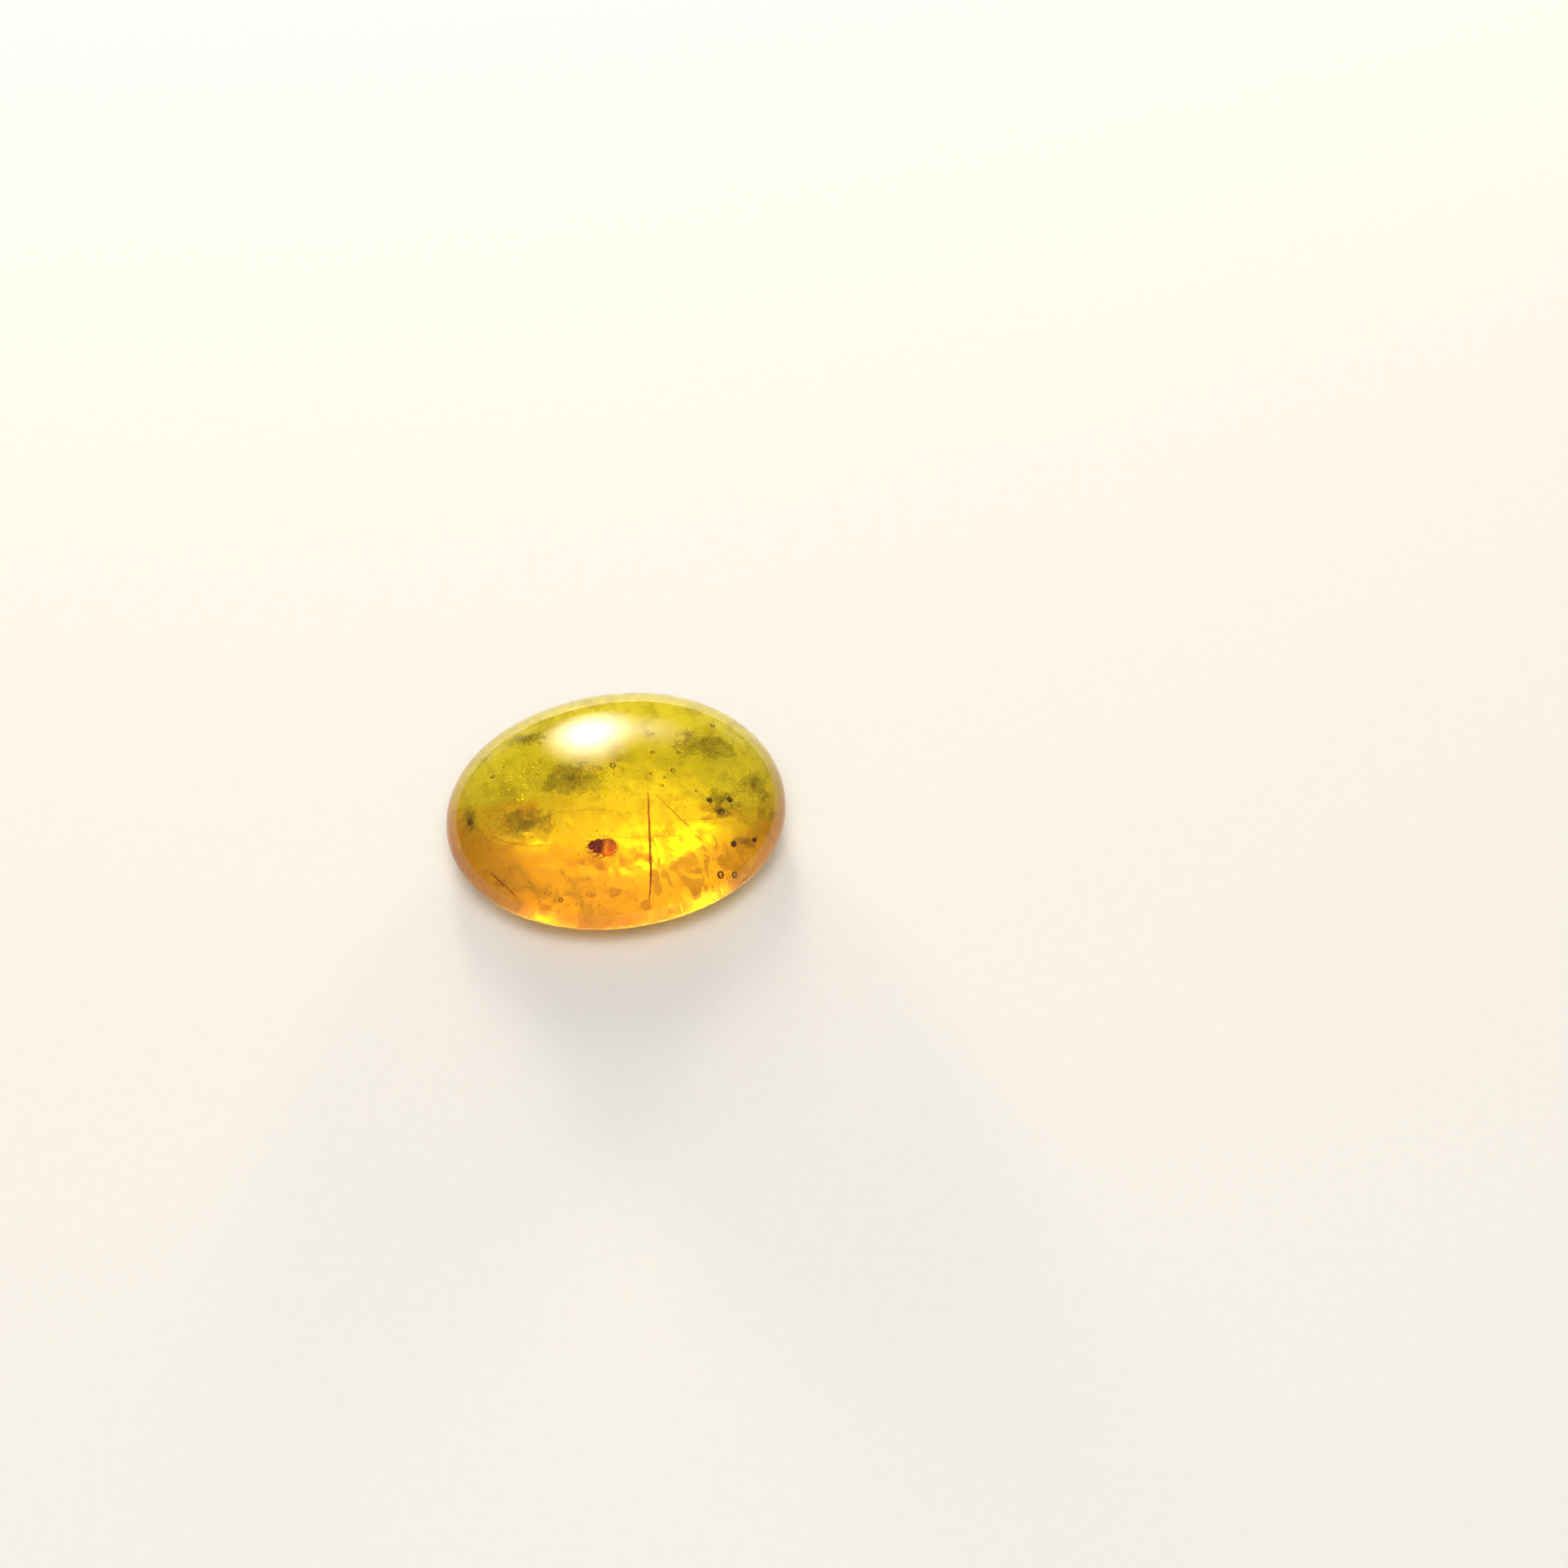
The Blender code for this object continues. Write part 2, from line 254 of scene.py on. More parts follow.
def colour_run(tree, value, *stops):
    """A colour that runs through stops, each a position and a colour, as a value grows."""
    made = add_node(tree, "ShaderNodeValToRGB", {"Fac": value})
    for index, (position, colour) in enumerate(stops):
        elements = made.color_ramp.elements
        stop = elements[index] if index < 2 else elements.new(position)
        stop.position, stop.color = position, (*colour, 1)
    return made.outputs[0]


# %% [markdown]
# ## The table
#
# The table is a plain pale sheet of card under the stone. It isn't part of the object. It lies a
# hair below the base, because two faces at one height would flicker.

# %% The table
TABLE_SIZE, TABLE_GAP = 3.0, 0.03 * MM
TABLE_COLOUR, TABLE_GRAIN = (0.72, 0.71, 0.69), 900.0
table_mesh = bpy.data.meshes.new("table")
table_mesh.from_pydata([(x * TABLE_SIZE, y * TABLE_SIZE, -TABLE_GAP)
                        for x, y in ((-1, -1), (1, -1), (1, 1), (-1, 1))], [], [(0, 1, 2, 3)])
table = bpy.data.objects.new("table", table_mesh)
bpy.context.collection.objects.link(table)
table_card, shader, tree = new_material("table_card")
tint = blended(tree, cloudy(tree, own_place(tree), TABLE_GRAIN, 4.0),
               tuple(c * 0.97 for c in TABLE_COLOUR), tuple(c * 1.03 for c in TABLE_COLOUR))
tree.links.new(tint, shader.inputs["Base Color"])
shader.inputs["Roughness"].default_value = 0.9
table_mesh.materials.append(table_card)
print("table:", TABLE_SIZE * 2, "m wide")

# %% [markdown]
# ## Lights and surroundings
#
# A clear stone shows the light that comes through it more than the light that falls on it. A
# tall soft window behind it, a little to the left, makes the highlight on the dome, and a faint
# panel beside it softens its edge. Three low panels behind the stone send light into the crust of
# its belly, which glows, and a broad one high in front keeps the table pale. Each is an oval that
# fades outward, because a hard-edged panel would show as a hard white patch. All but the window
# and its edge are kept off the dome's mirror, so there is one highlight, but they still light
# the stone from within. The room is plain and pale, brighter overhead and in front.

# %% Lights and surroundings
WARM_WHITE, DAY_WHITE, ROOM_WHITE = (1.0, 0.88, 0.70), (1, 0.99, 0.97), (1.0, 0.985, 0.96, 1)
LIGHT_AIM = Vector((0, 0, 4 * MM))
WORLD_DIM, WORLD_BRIGHT, WORLD_LIFT = 0.14, 0.4, math.radians(50)


def soft_light(name, azimuth, elevation, distance, size, power, mirrored=True, colour=WARM_WHITE):
    """An oval panel, brightest at its middle, placed by angles from the way the camera looks."""
    turn, lift = math.radians(azimuth), math.radians(elevation)
    direction = (away * math.cos(turn) + rightward * math.sin(turn)) * math.cos(lift)
    direction += Vector((0, 0, math.sin(lift)))
    data = bpy.data.lights.new(name, "AREA")
    data.shape = "ELLIPSE"
    data.size, data.size_y, data.energy, data.color = *size, power, colour
    data.use_nodes = True
    tree = data.node_tree
    panel = add_node(tree, "ShaderNodeNewGeometry").outputs["Parametric"]
    flat = vector_calc(tree, "MULTIPLY", vector_calc(tree, "SUBTRACT", panel, (0.5, 0.5, 0)), (2, 2, 0))
    left = calc(tree, "MAXIMUM", calc(tree, "SUBTRACT", 1.0, vector_calc(tree, "LENGTH", flat)), 0.0)
    tree.links.new(calc(tree, "POWER", left, 2.0), tree.nodes["Emission"].inputs["Strength"])
    light = bpy.data.objects.new(name, data)
    bpy.context.collection.objects.link(light)
    light.location = LIGHT_AIM + direction * distance
    light.rotation_euler = direction.to_track_quat("Z", "Y").to_euler()
    light.visible_glossy = mirrored
    print(name, "at", [round(v, 2) for v in light.location])


soft_light("window", -9.5, 27, 0.6, (0.23, 0.46), 8.5)
soft_light("window_edge", 2, 27, 0.6, (0.30, 0.30), 1.0)
soft_light("low_glow", -9, 15, 0.6, (0.30, 0.24), 5.0, mirrored=False)
soft_light("overhead", 180, 62, 0.8, (0.9, 0.9), 29.0, mirrored=False, colour=DAY_WHITE)
soft_light("right_glow", 20, 8, 0.5, (0.22, 0.12), 9.0, mirrored=False)
soft_light("left_glow", -26, 7, 0.5, (0.20, 0.11), 12.0, mirrored=False)

world = bpy.data.worlds.new("pale_room")
bpy.context.scene.world = world
world.use_nodes = True
tree = world.node_tree
brightest = -away * math.cos(WORLD_LIFT) + Vector((0, 0, math.sin(WORLD_LIFT)))
sky = add_node(tree, "ShaderNodeTexCoord").outputs["Generated"]
strength = carried(tree, vector_calc(tree, "DOT_PRODUCT", sky, brightest), (-0.2, 0.9),
                   (WORLD_DIM, WORLD_BRIGHT))
tree.links.new(strength, tree.nodes["Background"].inputs["Strength"])
tree.nodes["Background"].inputs["Color"].default_value = ROOM_WHITE
bpy.context.scene.view_settings.view_transform = "Standard"

# %% [markdown]
# ## The skin of the stone
#
# The dome is polished smooth, but the underside of such a stone keeps the shallow hollows of the
# raw resin. So the skin is turned from the section, one ring of points for each of its points,
# pushed out to the outline, and its belly is pressed in by a slow noise that dies out at the
# girdle and the base, and by a finer one in two patches that the polisher hardly touched. Its
# finish is only named here, and is made in the next two steps.

# %% The skin of the stone
SKIN_STEPS, DOME_STEPS, BELLY_STEPS, BASE_STEPS = 256, 48, 48, 6
RIPPLE_DEPTH, RIPPLE_SIZE = 0.06 * MM, 1.5 * MM
SECOND_WAVE, RAW_SIZE, RAW_DEPTH = 2.1, 0.55, 1.4
GIRDLE_FADE, BASE_FADE = 1.2 * MM, 0.1 * MM
PRESS_IN, PRESS_UP = 0.3, 4 * MM
RAW_PATCHES = ((Vector((3.8, -7.4, 0.4)) * MM, 5.5 * MM), (Vector((-6.0, -6.3, 0.4)) * MM, 3.4 * MM))


def section():
    """The stone's section from its top, down its outer side, to the middle of its base."""
    quarter = math.radians(90)
    turns = [quarter * i / DOME_STEPS for i in range(DOME_STEPS + 1)]
    points = [(math.sin(a), GIRDLE_HEIGHT + DOME_RISE * math.cos(a)) for a in turns]
    flat = math.acos(GIRDLE_HEIGHT / BELLY_DROP)
    for i in range(1, BELLY_STEPS + 1):
        angle = quarter + (flat - quarter) * i / BELLY_STEPS
        points.append((math.sin(angle), GIRDLE_HEIGHT - BELLY_DROP * math.cos(angle)))
    return points + [(math.sin(flat) * (1 - i / BASE_STEPS), 0.0) for i in range(1, BASE_STEPS + 1)]


def belly_ripple(point):
    """How far the belly is pressed in at a point: shallow hollows that fade at its edges."""
    if point.z >= GIRDLE_HEIGHT or point.z <= 0:
        return 0.0
    wave = noise.noise(point / RIPPLE_SIZE)
    wave += 0.5 * noise.noise(point / RIPPLE_SIZE * SECOND_WAVE + Vector((5, 3, 1)))
    fade = min(1, (GIRDLE_HEIGHT - point.z) / GIRDLE_FADE) * min(1, point.z / BASE_FADE)
    raw = max(0.0, *(1 - (point - middle).length / reach for middle, reach in RAW_PATCHES))
    fine = abs(noise.noise(point / (RIPPLE_SIZE * RAW_SIZE) + Vector((9, 4, 2))))
    return (abs(wave) + RAW_DEPTH * raw * fine) * RIPPLE_DEPTH * fade


def bridge(shape, rings):
    """Faces between each ring of points and the next; a ring of one point closes an end."""
    for upper, lower in zip(rings, rings[1:]):
        count = max(len(upper), len(lower))
        for i in range(count):
            j = (i + 1) % count
            corners = (upper[i % len(upper)], lower[i % len(lower)], lower[j % len(lower)],
                       upper[j % len(upper)])
            shape.faces.new(list(dict.fromkeys(corners)))


def piece_mesh(shape, name, material, place=Matrix()):
    """Turn a mesh in the making into an object: faces outward, with its finish, in its place."""
    bmesh.ops.recalc_face_normals(shape, faces=shape.faces)
    shape.transform(place)
    mesh = bpy.data.meshes.new(name)
    shape.to_mesh(mesh)
    shape.free()
    mesh.materials.append(material)
    item = bpy.data.objects.new(name, mesh)
    bpy.context.collection.objects.link(item)
    return item


def finish_piece(item, stands_for=()):
    """Let a piece ride on the stone, with its finish and the node that it stands for."""
    item.data.shade_smooth()
    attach(item, "root")
    if stands_for:
        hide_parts(*stands_for)
    print(item.name, "triangles:", sum(len(face.vertices) - 2 for face in item.data.polygons))


skin = bmesh.new()
rings = []
for radius, height in section():
    ring = []
    for step in range(SKIN_STEPS if radius > 1e-6 else 1):
        point = stone_point(math.tau * step / SKIN_STEPS, radius, height)
        inward = Vector((-point.x * PRESS_IN, -point.y * PRESS_IN, PRESS_UP)).normalized()
        ring.append(skin.verts.new(point + inward * belly_ripple(point)))
    rings.append(ring)
bridge(skin, rings)
amber, shader, tree = new_material("amber")
finish_piece(piece_mesh(skin, "amber_stone", amber), ["amber_upper", "amber_lower"])

# %% [markdown]
# ## Clear amber with a frosted crust
#
# Amber is made clear by transmission with its own refractive index, and an even absorption turns
# it yellow through its thickness. That alone would show the table through it. A real stone glows,
# because its belly and base are ground matt and spread the light that comes from behind. So the
# polish changes over the surface: clear on the dome, frosted on the belly, most at the back and
# on the base. Wavy veins of frost, where one flow of resin met the next, cross the raw patch.

# %% Clear amber with a frosted crust
DOME_POLISH, BELLY_FROST, FROST_TOP, BASE_FROST = 0.02, 0.3, 3.4 * MM, 0.6
VEIN_TURN, VEIN_SIZE, VEIN_STRETCH, SMOOTH_BETWEEN = math.radians(20), 1.3 * MM, 0.38, 0.38
DEPTH_COLOUR, DEPTH_DENSITY = (0.997, 0.97, 0.0, 1), 450.0
FROST_FADE, REAR_REACH, BASE_EDGE = 0.8 * MM, (-1 * MM, 7 * MM), (0.05 * MM, 0.8 * MM)
PATCH_SCALE, PATCH_RANGE, VEIN_WIDTH = 800.0, (0.55, 1.25), (0.035, 0.095)
shader.inputs["Base Color"].default_value = (1, 1, 1, 1)
shader.inputs["Transmission Weight"].default_value = 1.0
shader.inputs["IOR"].default_value = AMBER_IOR
depth_colour = add_node(tree, "ShaderNodeVolumeAbsorption", {"Color": DEPTH_COLOUR,
                                                             "Density": DEPTH_DENSITY})
tree.links.new(depth_colour.outputs[0], tree.nodes["Material Output"].inputs["Volume"])

place = own_place(tree)
height = add_node(tree, "ShaderNodeSeparateXYZ", {0: place}).outputs["Z"]
back = vector_calc(tree, "DOT_PRODUCT", place, away)
frost = carried(tree, height, (FROST_TOP - FROST_FADE, FROST_TOP), (BELLY_FROST, DOME_POLISH))
rear = carried(tree, back, REAR_REACH, (1.0, BASE_FROST / BELLY_FROST), eased=False)
base = carried(tree, height, BASE_EDGE, (BASE_FROST / BELLY_FROST, 1.0), eased=False)
patchy = carried(tree, cloudy(tree, place, PATCH_SCALE, 5.0), (0.35, 0.65), PATCH_RANGE, eased=False)
flow = add_node(tree, "ShaderNodeMapping", {"Vector": place, "Rotation": (0, 0, VEIN_TURN),
                                            "Scale": (1.0, VEIN_STRETCH, 1.0)}).outputs[0]
waves = cloudy(tree, flow, 1 / VEIN_SIZE, 3.0, distortion=0.8)
from_bend = calc(tree, "ABSOLUTE", calc(tree, "SUBTRACT", waves, 0.5))
vein = carried(tree, from_bend, VEIN_WIDTH, (1.0, 0.0))
raw_middle, raw_reach = RAW_PATCHES[0]
vein_share = carried(tree, vector_calc(tree, "DISTANCE", place, raw_middle),
                     (raw_reach * 0.5, raw_reach * 1.05), (1.0, 0.25))
seamed = between(tree, vein_share, 1.0, carried(tree, vein, (0, 1), (SMOOTH_BETWEEN, 1.1), eased=False))
all_frost = calc(tree, "MULTIPLY", calc(tree, "MULTIPLY", frost, calc(tree, "MAXIMUM", rear, base)),
                 calc(tree, "MULTIPLY", patchy, seamed))
tree.links.new(calc(tree, "MAXIMUM", all_frost, DOME_POLISH), shader.inputs["Roughness"])
print("frost from", DOME_POLISH, "on the dome to", BASE_FROST, "on the base")

# %% [markdown]
# ## The colours of the crust, with painted shade and light
#
# The crust of old amber is stained where it met air and earth, and a thin tint on the surface
# colours the light that passes it. The olive stains below the girdle, which show behind, are such
# stains. The rest of the tint is painted. The orange tint low in front is painted shade, for the
# deeper orange that light's long path through the stone gives there, and the back is left lemon.
# The deep orange along the girdle is painted shade on the rim. In the raw patch the deep orange
# between the veins is painted shade, and the clear veins are painted light, for streaks of focused
# light. High on the dome there is almost no tint.

# %% The colours of the crust, with painted shade and light
# The orange tone is painted shade low in front; the deep orange is painted shade on the rim and between the
# veins; the vein tone is painted light.
CRUST_AND_SHADE_TONE, PAINTED_SHADE_TONE = (0.93, 0.46, 0.08), (0.60, 0.20, 0.02)
CLEAR_TONE, STAIN_TONE, PAINTED_LIGHT_TONE = (1, 1, 0.97), (0.34, 0.27, 0.05), (1, 1, 0.9)
CRUST_SHADE_SLOPE, CRUST_SHADE_FADE, CRUST_SHADE_RISE = 0.35, (3.4 * MM, 5.2 * MM), (1.5 * MM, GIRDLE_HEIGHT)
STAIN_SCALE, BASE_TOP, BASE_FADE_AWAY = 640.0, 0.02 * MM, (-2.5 * MM, 3 * MM)
GIRDLE_SHADE_BAND, DEEP_SHARE = (0.5 * MM, 2.0 * MM), 0.85
below = calc(tree, "LESS_THAN", height, GIRDLE_HEIGHT)
stain = carried(tree, cloudy(tree, place, STAIN_SCALE, 7.0, 0.7), (0.49, 0.60), (0.0, 0.65), eased=False)
cleared = blended(tree, calc(tree, "MULTIPLY", stain, below), CLEAR_TONE, STAIN_TONE)

# Painted shade: the tint deepens in front and low down, for the deeper orange of light's long path through
# the stone.
in_belly = carried(tree, height, CRUST_SHADE_RISE, (1.2, 0.0), eased=False)
behind = calc(tree, "MAXIMUM", calc(tree, "ADD", back, 2 * MM), 0.0)
depth = calc(tree, "MULTIPLY_ADD", back, CRUST_SHADE_SLOPE, height)
depth = calc(tree, "MULTIPLY_ADD", behind, in_belly, depth)
crust_and_shade = carried(tree, depth, CRUST_SHADE_FADE, (1.0, 0.0))
base_front = carried(tree, back, BASE_FADE_AWAY, (0.95, 0.0), eased=False)
crust_and_shade_share = between(tree, calc(tree, "GREATER_THAN", height, BASE_TOP), base_front, crust_and_shade)
crust_and_shade_tinted = blended(tree, crust_and_shade_share, cleared, CRUST_AND_SHADE_TONE)

# Painted shade: a deep orange band along the girdle darkens the rim of the stone.
from_girdle = calc(tree, "ABSOLUTE", calc(tree, "SUBTRACT", height, GIRDLE_HEIGHT))
girdle_shade = carried(tree, from_girdle, GIRDLE_SHADE_BAND, (0.9, 0.0))
# In the raw patch the deep orange between the veins is painted shade, and the clear veins are painted light,
# for streaks of focused light.
deep = calc(tree, "MULTIPLY", calc(tree, "MULTIPLY", vein_share, crust_and_shade_share), DEEP_SHARE)
darkened = blended(tree, calc(tree, "MAXIMUM", deep, girdle_shade), crust_and_shade_tinted, PAINTED_SHADE_TONE)
painted_vein_light = calc(tree, "MULTIPLY", calc(tree, "MULTIPLY", vein, vein_share), below)
tree.links.new(blended(tree, painted_vein_light, darkened, PAINTED_LIGHT_TONE), shader.inputs["Base Color"])
print("nodes in the amber:", len(tree.nodes))

# %% [markdown]
# ## Lobes and limbs
#
# The beetle is too round and too finely ribbed for boxes or plain balls. Its plates are lobes:
# closed eggs of rings whose every point can be lifted or sunk, which gives ribs, pits and a seam.
# Its legs and feelers are limbs: tapering rods along a smooth route. Both are drawn in millimetres
# about the beetle's own centre, heading along X, and only then turned and set in the stone.

# %% Lobes and limbs
def lobe(shape, centre, half_sizes, rings, sides, relief=lambda u, v: 0.0):
    """A closed egg of rings along X; relief(u, v) moves each point out along the egg's normal."""
    half = Vector(half_sizes)
    made = []
    for i in range(rings + 1):
        u = math.pi * i / rings
        ring = []
        for j in range(sides if 0 < i < rings else 1):
            v = math.tau * j / sides
            unit = Vector((math.cos(u), math.sin(u) * math.cos(v), math.sin(u) * math.sin(v)))
            normal = Vector((unit.x / half.x, unit.y / half.y, unit.z / half.z)).normalized()
            ring.append(shape.verts.new(Vector(centre) + unit * half + normal * relief(u, v)))
        made.append(ring)
    bridge(shape, made)


def smooth_route(points, steps):
    """A Catmull-Rom curve through points, with so many steps between each two."""
    points = [Vector(point) for point in points]
    line = [points[0] * 2 - points[1], *points, points[-1] * 2 - points[-2]]
    route = []
    for a, b, c, d in zip(line, line[1:], line[2:], line[3:]):
        for t in (step / steps for step in range(steps)):
            route.append((b * 2 + (c - a) * t + (a * 2 - b * 5 + c * 4 - d) * t ** 2
                          + (b * 3 - a - c * 3 + d) * t ** 3) / 2)
    return [*route, points[-1]]


def limb(shape, points, radii, steps=4, sides=10):
    """A rod along a smooth route through points, its radius running through radii."""
    route = smooth_route(points, steps)
    side = Vector((0.1, 0.05, 1))
    made = [[shape.verts.new(route[0])]]
    for i, point in enumerate(route):
        share = i / (len(route) - 1) * (len(radii) - 1)
        first = min(int(share), len(radii) - 2)
        radius = radii[first] + (radii[first + 1] - radii[first]) * (share - first)
        along = (route[min(i + 1, len(route) - 1)] - route[max(i - 1, 0)]).normalized()
        side = (side - along * side.dot(along)).normalized()
        other = along.cross(side)
        turns = [math.tau * j / sides for j in range(sides)]
        made.append([shape.verts.new(point + (side * math.cos(a) + other * math.sin(a)) * radius)
                     for a in turns])
    made.append([shape.verts.new(route[-1])])
    bridge(shape, made)


# %% [markdown]
# ## Finishes for what is sealed in
#
# Everything in the stone is seen through centimetres of amber, so its own colour is mostly light
# or dark. Still, shell, plant fibre, bark and dirt each vary from point to point. One helper mixes
# two tones by a noise, lets the roughness follow it, and raises a fine bump from it. Thin shell
# and fibre let some light through, so they are half clear. Torn films of dirt are so thin that
# most of the light passes between their grains, so they are given a low, even cover.

# %% Finishes for what is sealed in
SHELL_IOR = 1.08


def mottled(name, dark, light, grain, roughness, bump=0.3, metallic=0.0, clear=0.0, cover=1.0):
    """A finish of two tones mixed by a noise with grains of a size, rougher where it is lighter."""
    material, shader, tree = new_material(name)
    cloud = cloudy(tree, own_place(tree), 1.0 / grain, 5.0)
    tree.links.new(colour_run(tree, cloud, (0.35, dark), (0.65, light)), shader.inputs["Base Color"])
    tree.links.new(carried(tree, cloud, (0.3, 0.7), (roughness * 0.7, roughness * 1.3), eased=False),
                   shader.inputs["Roughness"])
    relief = add_node(tree, "ShaderNodeBump", {"Height": cloud, "Strength": bump, "Distance": grain * 0.3})
    tree.links.new(relief.outputs[0], shader.inputs["Normal"])
    shader.inputs["Metallic"].default_value = metallic
    shader.inputs["Transmission Weight"].default_value = clear
    shader.inputs["IOR"].default_value = SHELL_IOR if clear else 1.5
    shader.inputs["Alpha"].default_value = cover
    return material


dark_shell = mottled("dark_shell", (0.16, 0.012, 0.003), (0.50, 0.07, 0.008), 0.22 * MM, 0.30, clear=0.5)
limb_shell = mottled("limb_shell", (0.35, 0.06, 0.008), (0.75, 0.25, 0.03), 0.10 * MM, 0.35, clear=0.6)
bark = mottled("bark", (0.06, 0.025, 0.005), (0.26, 0.13, 0.03), 0.12 * MM, 0.8, bump=0.6)
olive_dirt = mottled("olive_dirt", (0.14, 0.085, 0.01), (0.36, 0.26, 0.04), 0.3 * MM, 0.8, clear=0.3)
gold_glint = mottled("gold_glint", (0.95, 0.80, 0.30), (1.0, 0.93, 0.55), 0.2 * MM, 0.25, metallic=0.9)
olive_veil = mottled("olive_veil", (0.18, 0.12, 0.012), (0.34, 0.25, 0.03), 0.3 * MM, 0.8, cover=0.17)
brown_veil = mottled("brown_veil", (0.30, 0.09, 0.008), (0.55, 0.22, 0.02), 0.3 * MM, 0.7, cover=0.24)
pale_film = mottled("pale_film", (0.9, 0.72, 0.2), (1.0, 0.9, 0.45), 0.2 * MM, 0.3)
red_fibre = mottled("red_fibre", (0.35, 0.045, 0.006), (0.70, 0.17, 0.02), 0.25 * MM, 0.4, clear=0.6)
gold_fibre = mottled("gold_fibre", (0.55, 0.15, 0.02), (0.95, 0.55, 0.08), 0.9 * MM, 0.4, clear=0.6)
print("finishes:", sorted(material.name for material in bpy.data.materials))

# %% [markdown]
# ## The beetle's plates
#
# Seen through the dome, the beetle is a dark head and fore body with a warm, half-clear pair of
# wing cases behind them. Real wing cases carry rows of fine pits along shallow grooves, and meet
# in a seam, so the lobe's relief is written as those grooves. The colour runs from red-brown at
# the front through an orange band to a bright edge at the tail, along the beetle's own axis.

# %% The beetle's plates
BEETLE_PLACE = Vector((-3.5 * MM, -5.4 * MM, 4.4 * MM))
BEETLE_HEADING = math.radians(147)
set_beetle = (Matrix.Translation(BEETLE_PLACE) @ Matrix.Rotation(BEETLE_HEADING, 4, "Z")
              @ Matrix.Scale(MM, 4))
WING_CASES, FORE_BODY = ((-0.42, 0, 0), (0.76, 0.86, 0.46)), ((0.34, 0, -0.02), (0.44, 0.70, 0.38))
HEAD, EYE_HALF = ((0.82, 0, -0.06), (0.30, 0.40, 0.26)), (0.12, 0.11, 0.12)
GROOVES, PITS = 18, 34
SHELL_BANDS = ((0.0, (1.0, 0.55, 0.06)), (0.14, (0.80, 0.22, 0.02)), (0.32, (0.72, 0.16, 0.015)),
               (0.52, (1.0, 0.48, 0.05)), (0.68, (0.70, 0.16, 0.02)), (0.9, (0.22, 0.03, 0.005)))


def wing_case_relief(u, v):
    """Grooves with rows of pits along the upper side, and the seam between the two cases."""
    top = max(0.0, math.sin(v)) * math.sin(u)
    groove = 0.5 + 0.5 * math.cos(GROOVES * v)
    pit = 0.5 + 0.5 * math.cos(PITS * u)
    seam = math.exp(-((math.cos(v) * math.sin(u)) / 0.05) ** 2) if math.sin(v) > 0 else 0.0
    return -top * (0.018 * groove ** 2 + 0.012 * groove ** 4 * pit) - 0.05 * seam * top


def fore_body_relief(u, v):
    """A raised hind rim and a fine grain of pits."""
    rim = math.exp(-((u - 2.2) / 0.12) ** 2)
    pits = max(0.0, noise.noise(Vector((u * 9, v * 7, 3.0))))
    return 0.02 * rim - 0.03 * pits


warm_shell, shader, tree = new_material("warm_shell")
beetle_axes = add_node(tree, "ShaderNodeMapping", {
    "Vector": own_place(tree), "Location": BEETLE_PLACE, "Rotation": (0, 0, BEETLE_HEADING)},
    vector_type="TEXTURE").outputs[0]
length_wise = add_node(tree, "ShaderNodeSeparateXYZ", {0: beetle_axes}).outputs["X"]
wobble = cloudy(tree, beetle_axes, 2500.0, 4.0)
shifted = calc(tree, "MULTIPLY_ADD", wobble, 0.3 * MM, length_wise)
along = carried(tree, shifted, (-1.1 * MM, 0.6 * MM), eased=False)
tree.links.new(colour_run(tree, along, *SHELL_BANDS), shader.inputs["Base Color"])
tree.links.new(carried(tree, wobble, (0, 1), (0.2, 0.4), eased=False), shader.inputs["Roughness"])
for label, value in (("Coat Weight", 0.3), ("Transmission Weight", 0.7), ("IOR", SHELL_IOR)):
    shader.inputs[label].default_value = value

shape = bmesh.new()
lobe(shape, *WING_CASES, 72, 144, wing_case_relief)
finish_piece(piece_mesh(shape, "beetle_wing_cases", warm_shell, set_beetle), ["insect"])

shape = bmesh.new()
lobe(shape, *FORE_BODY, 40, 64, fore_body_relief)
lobe(shape, *HEAD, 28, 40, fore_body_relief)
for sign in (1, -1):
    lobe(shape, (0.88, 0.32 * sign, 0.0), EYE_HALF, 14, 18)
    limb(shape, ((1.05, 0.12 * sign, -0.14), (1.16, 0.09 * sign, -0.17), (1.22, 0.01 * sign, -0.18)),
         (0.05, 0.04, 0.012), sides=8)
finish_piece(piece_mesh(shape, "beetle_fore_body", dark_shell, set_beetle), ["insect"])

# %% [markdown]
# ## Legs and feelers
#
# Six legs are tucked close to the body, as in most sealed beetles, and each is a thick thigh,
# a thinner shin and a foot of small joints that ends in two claws. One side is drawn, and the
# other is the same with its sign turned, so no mirroring can turn a face inside out.

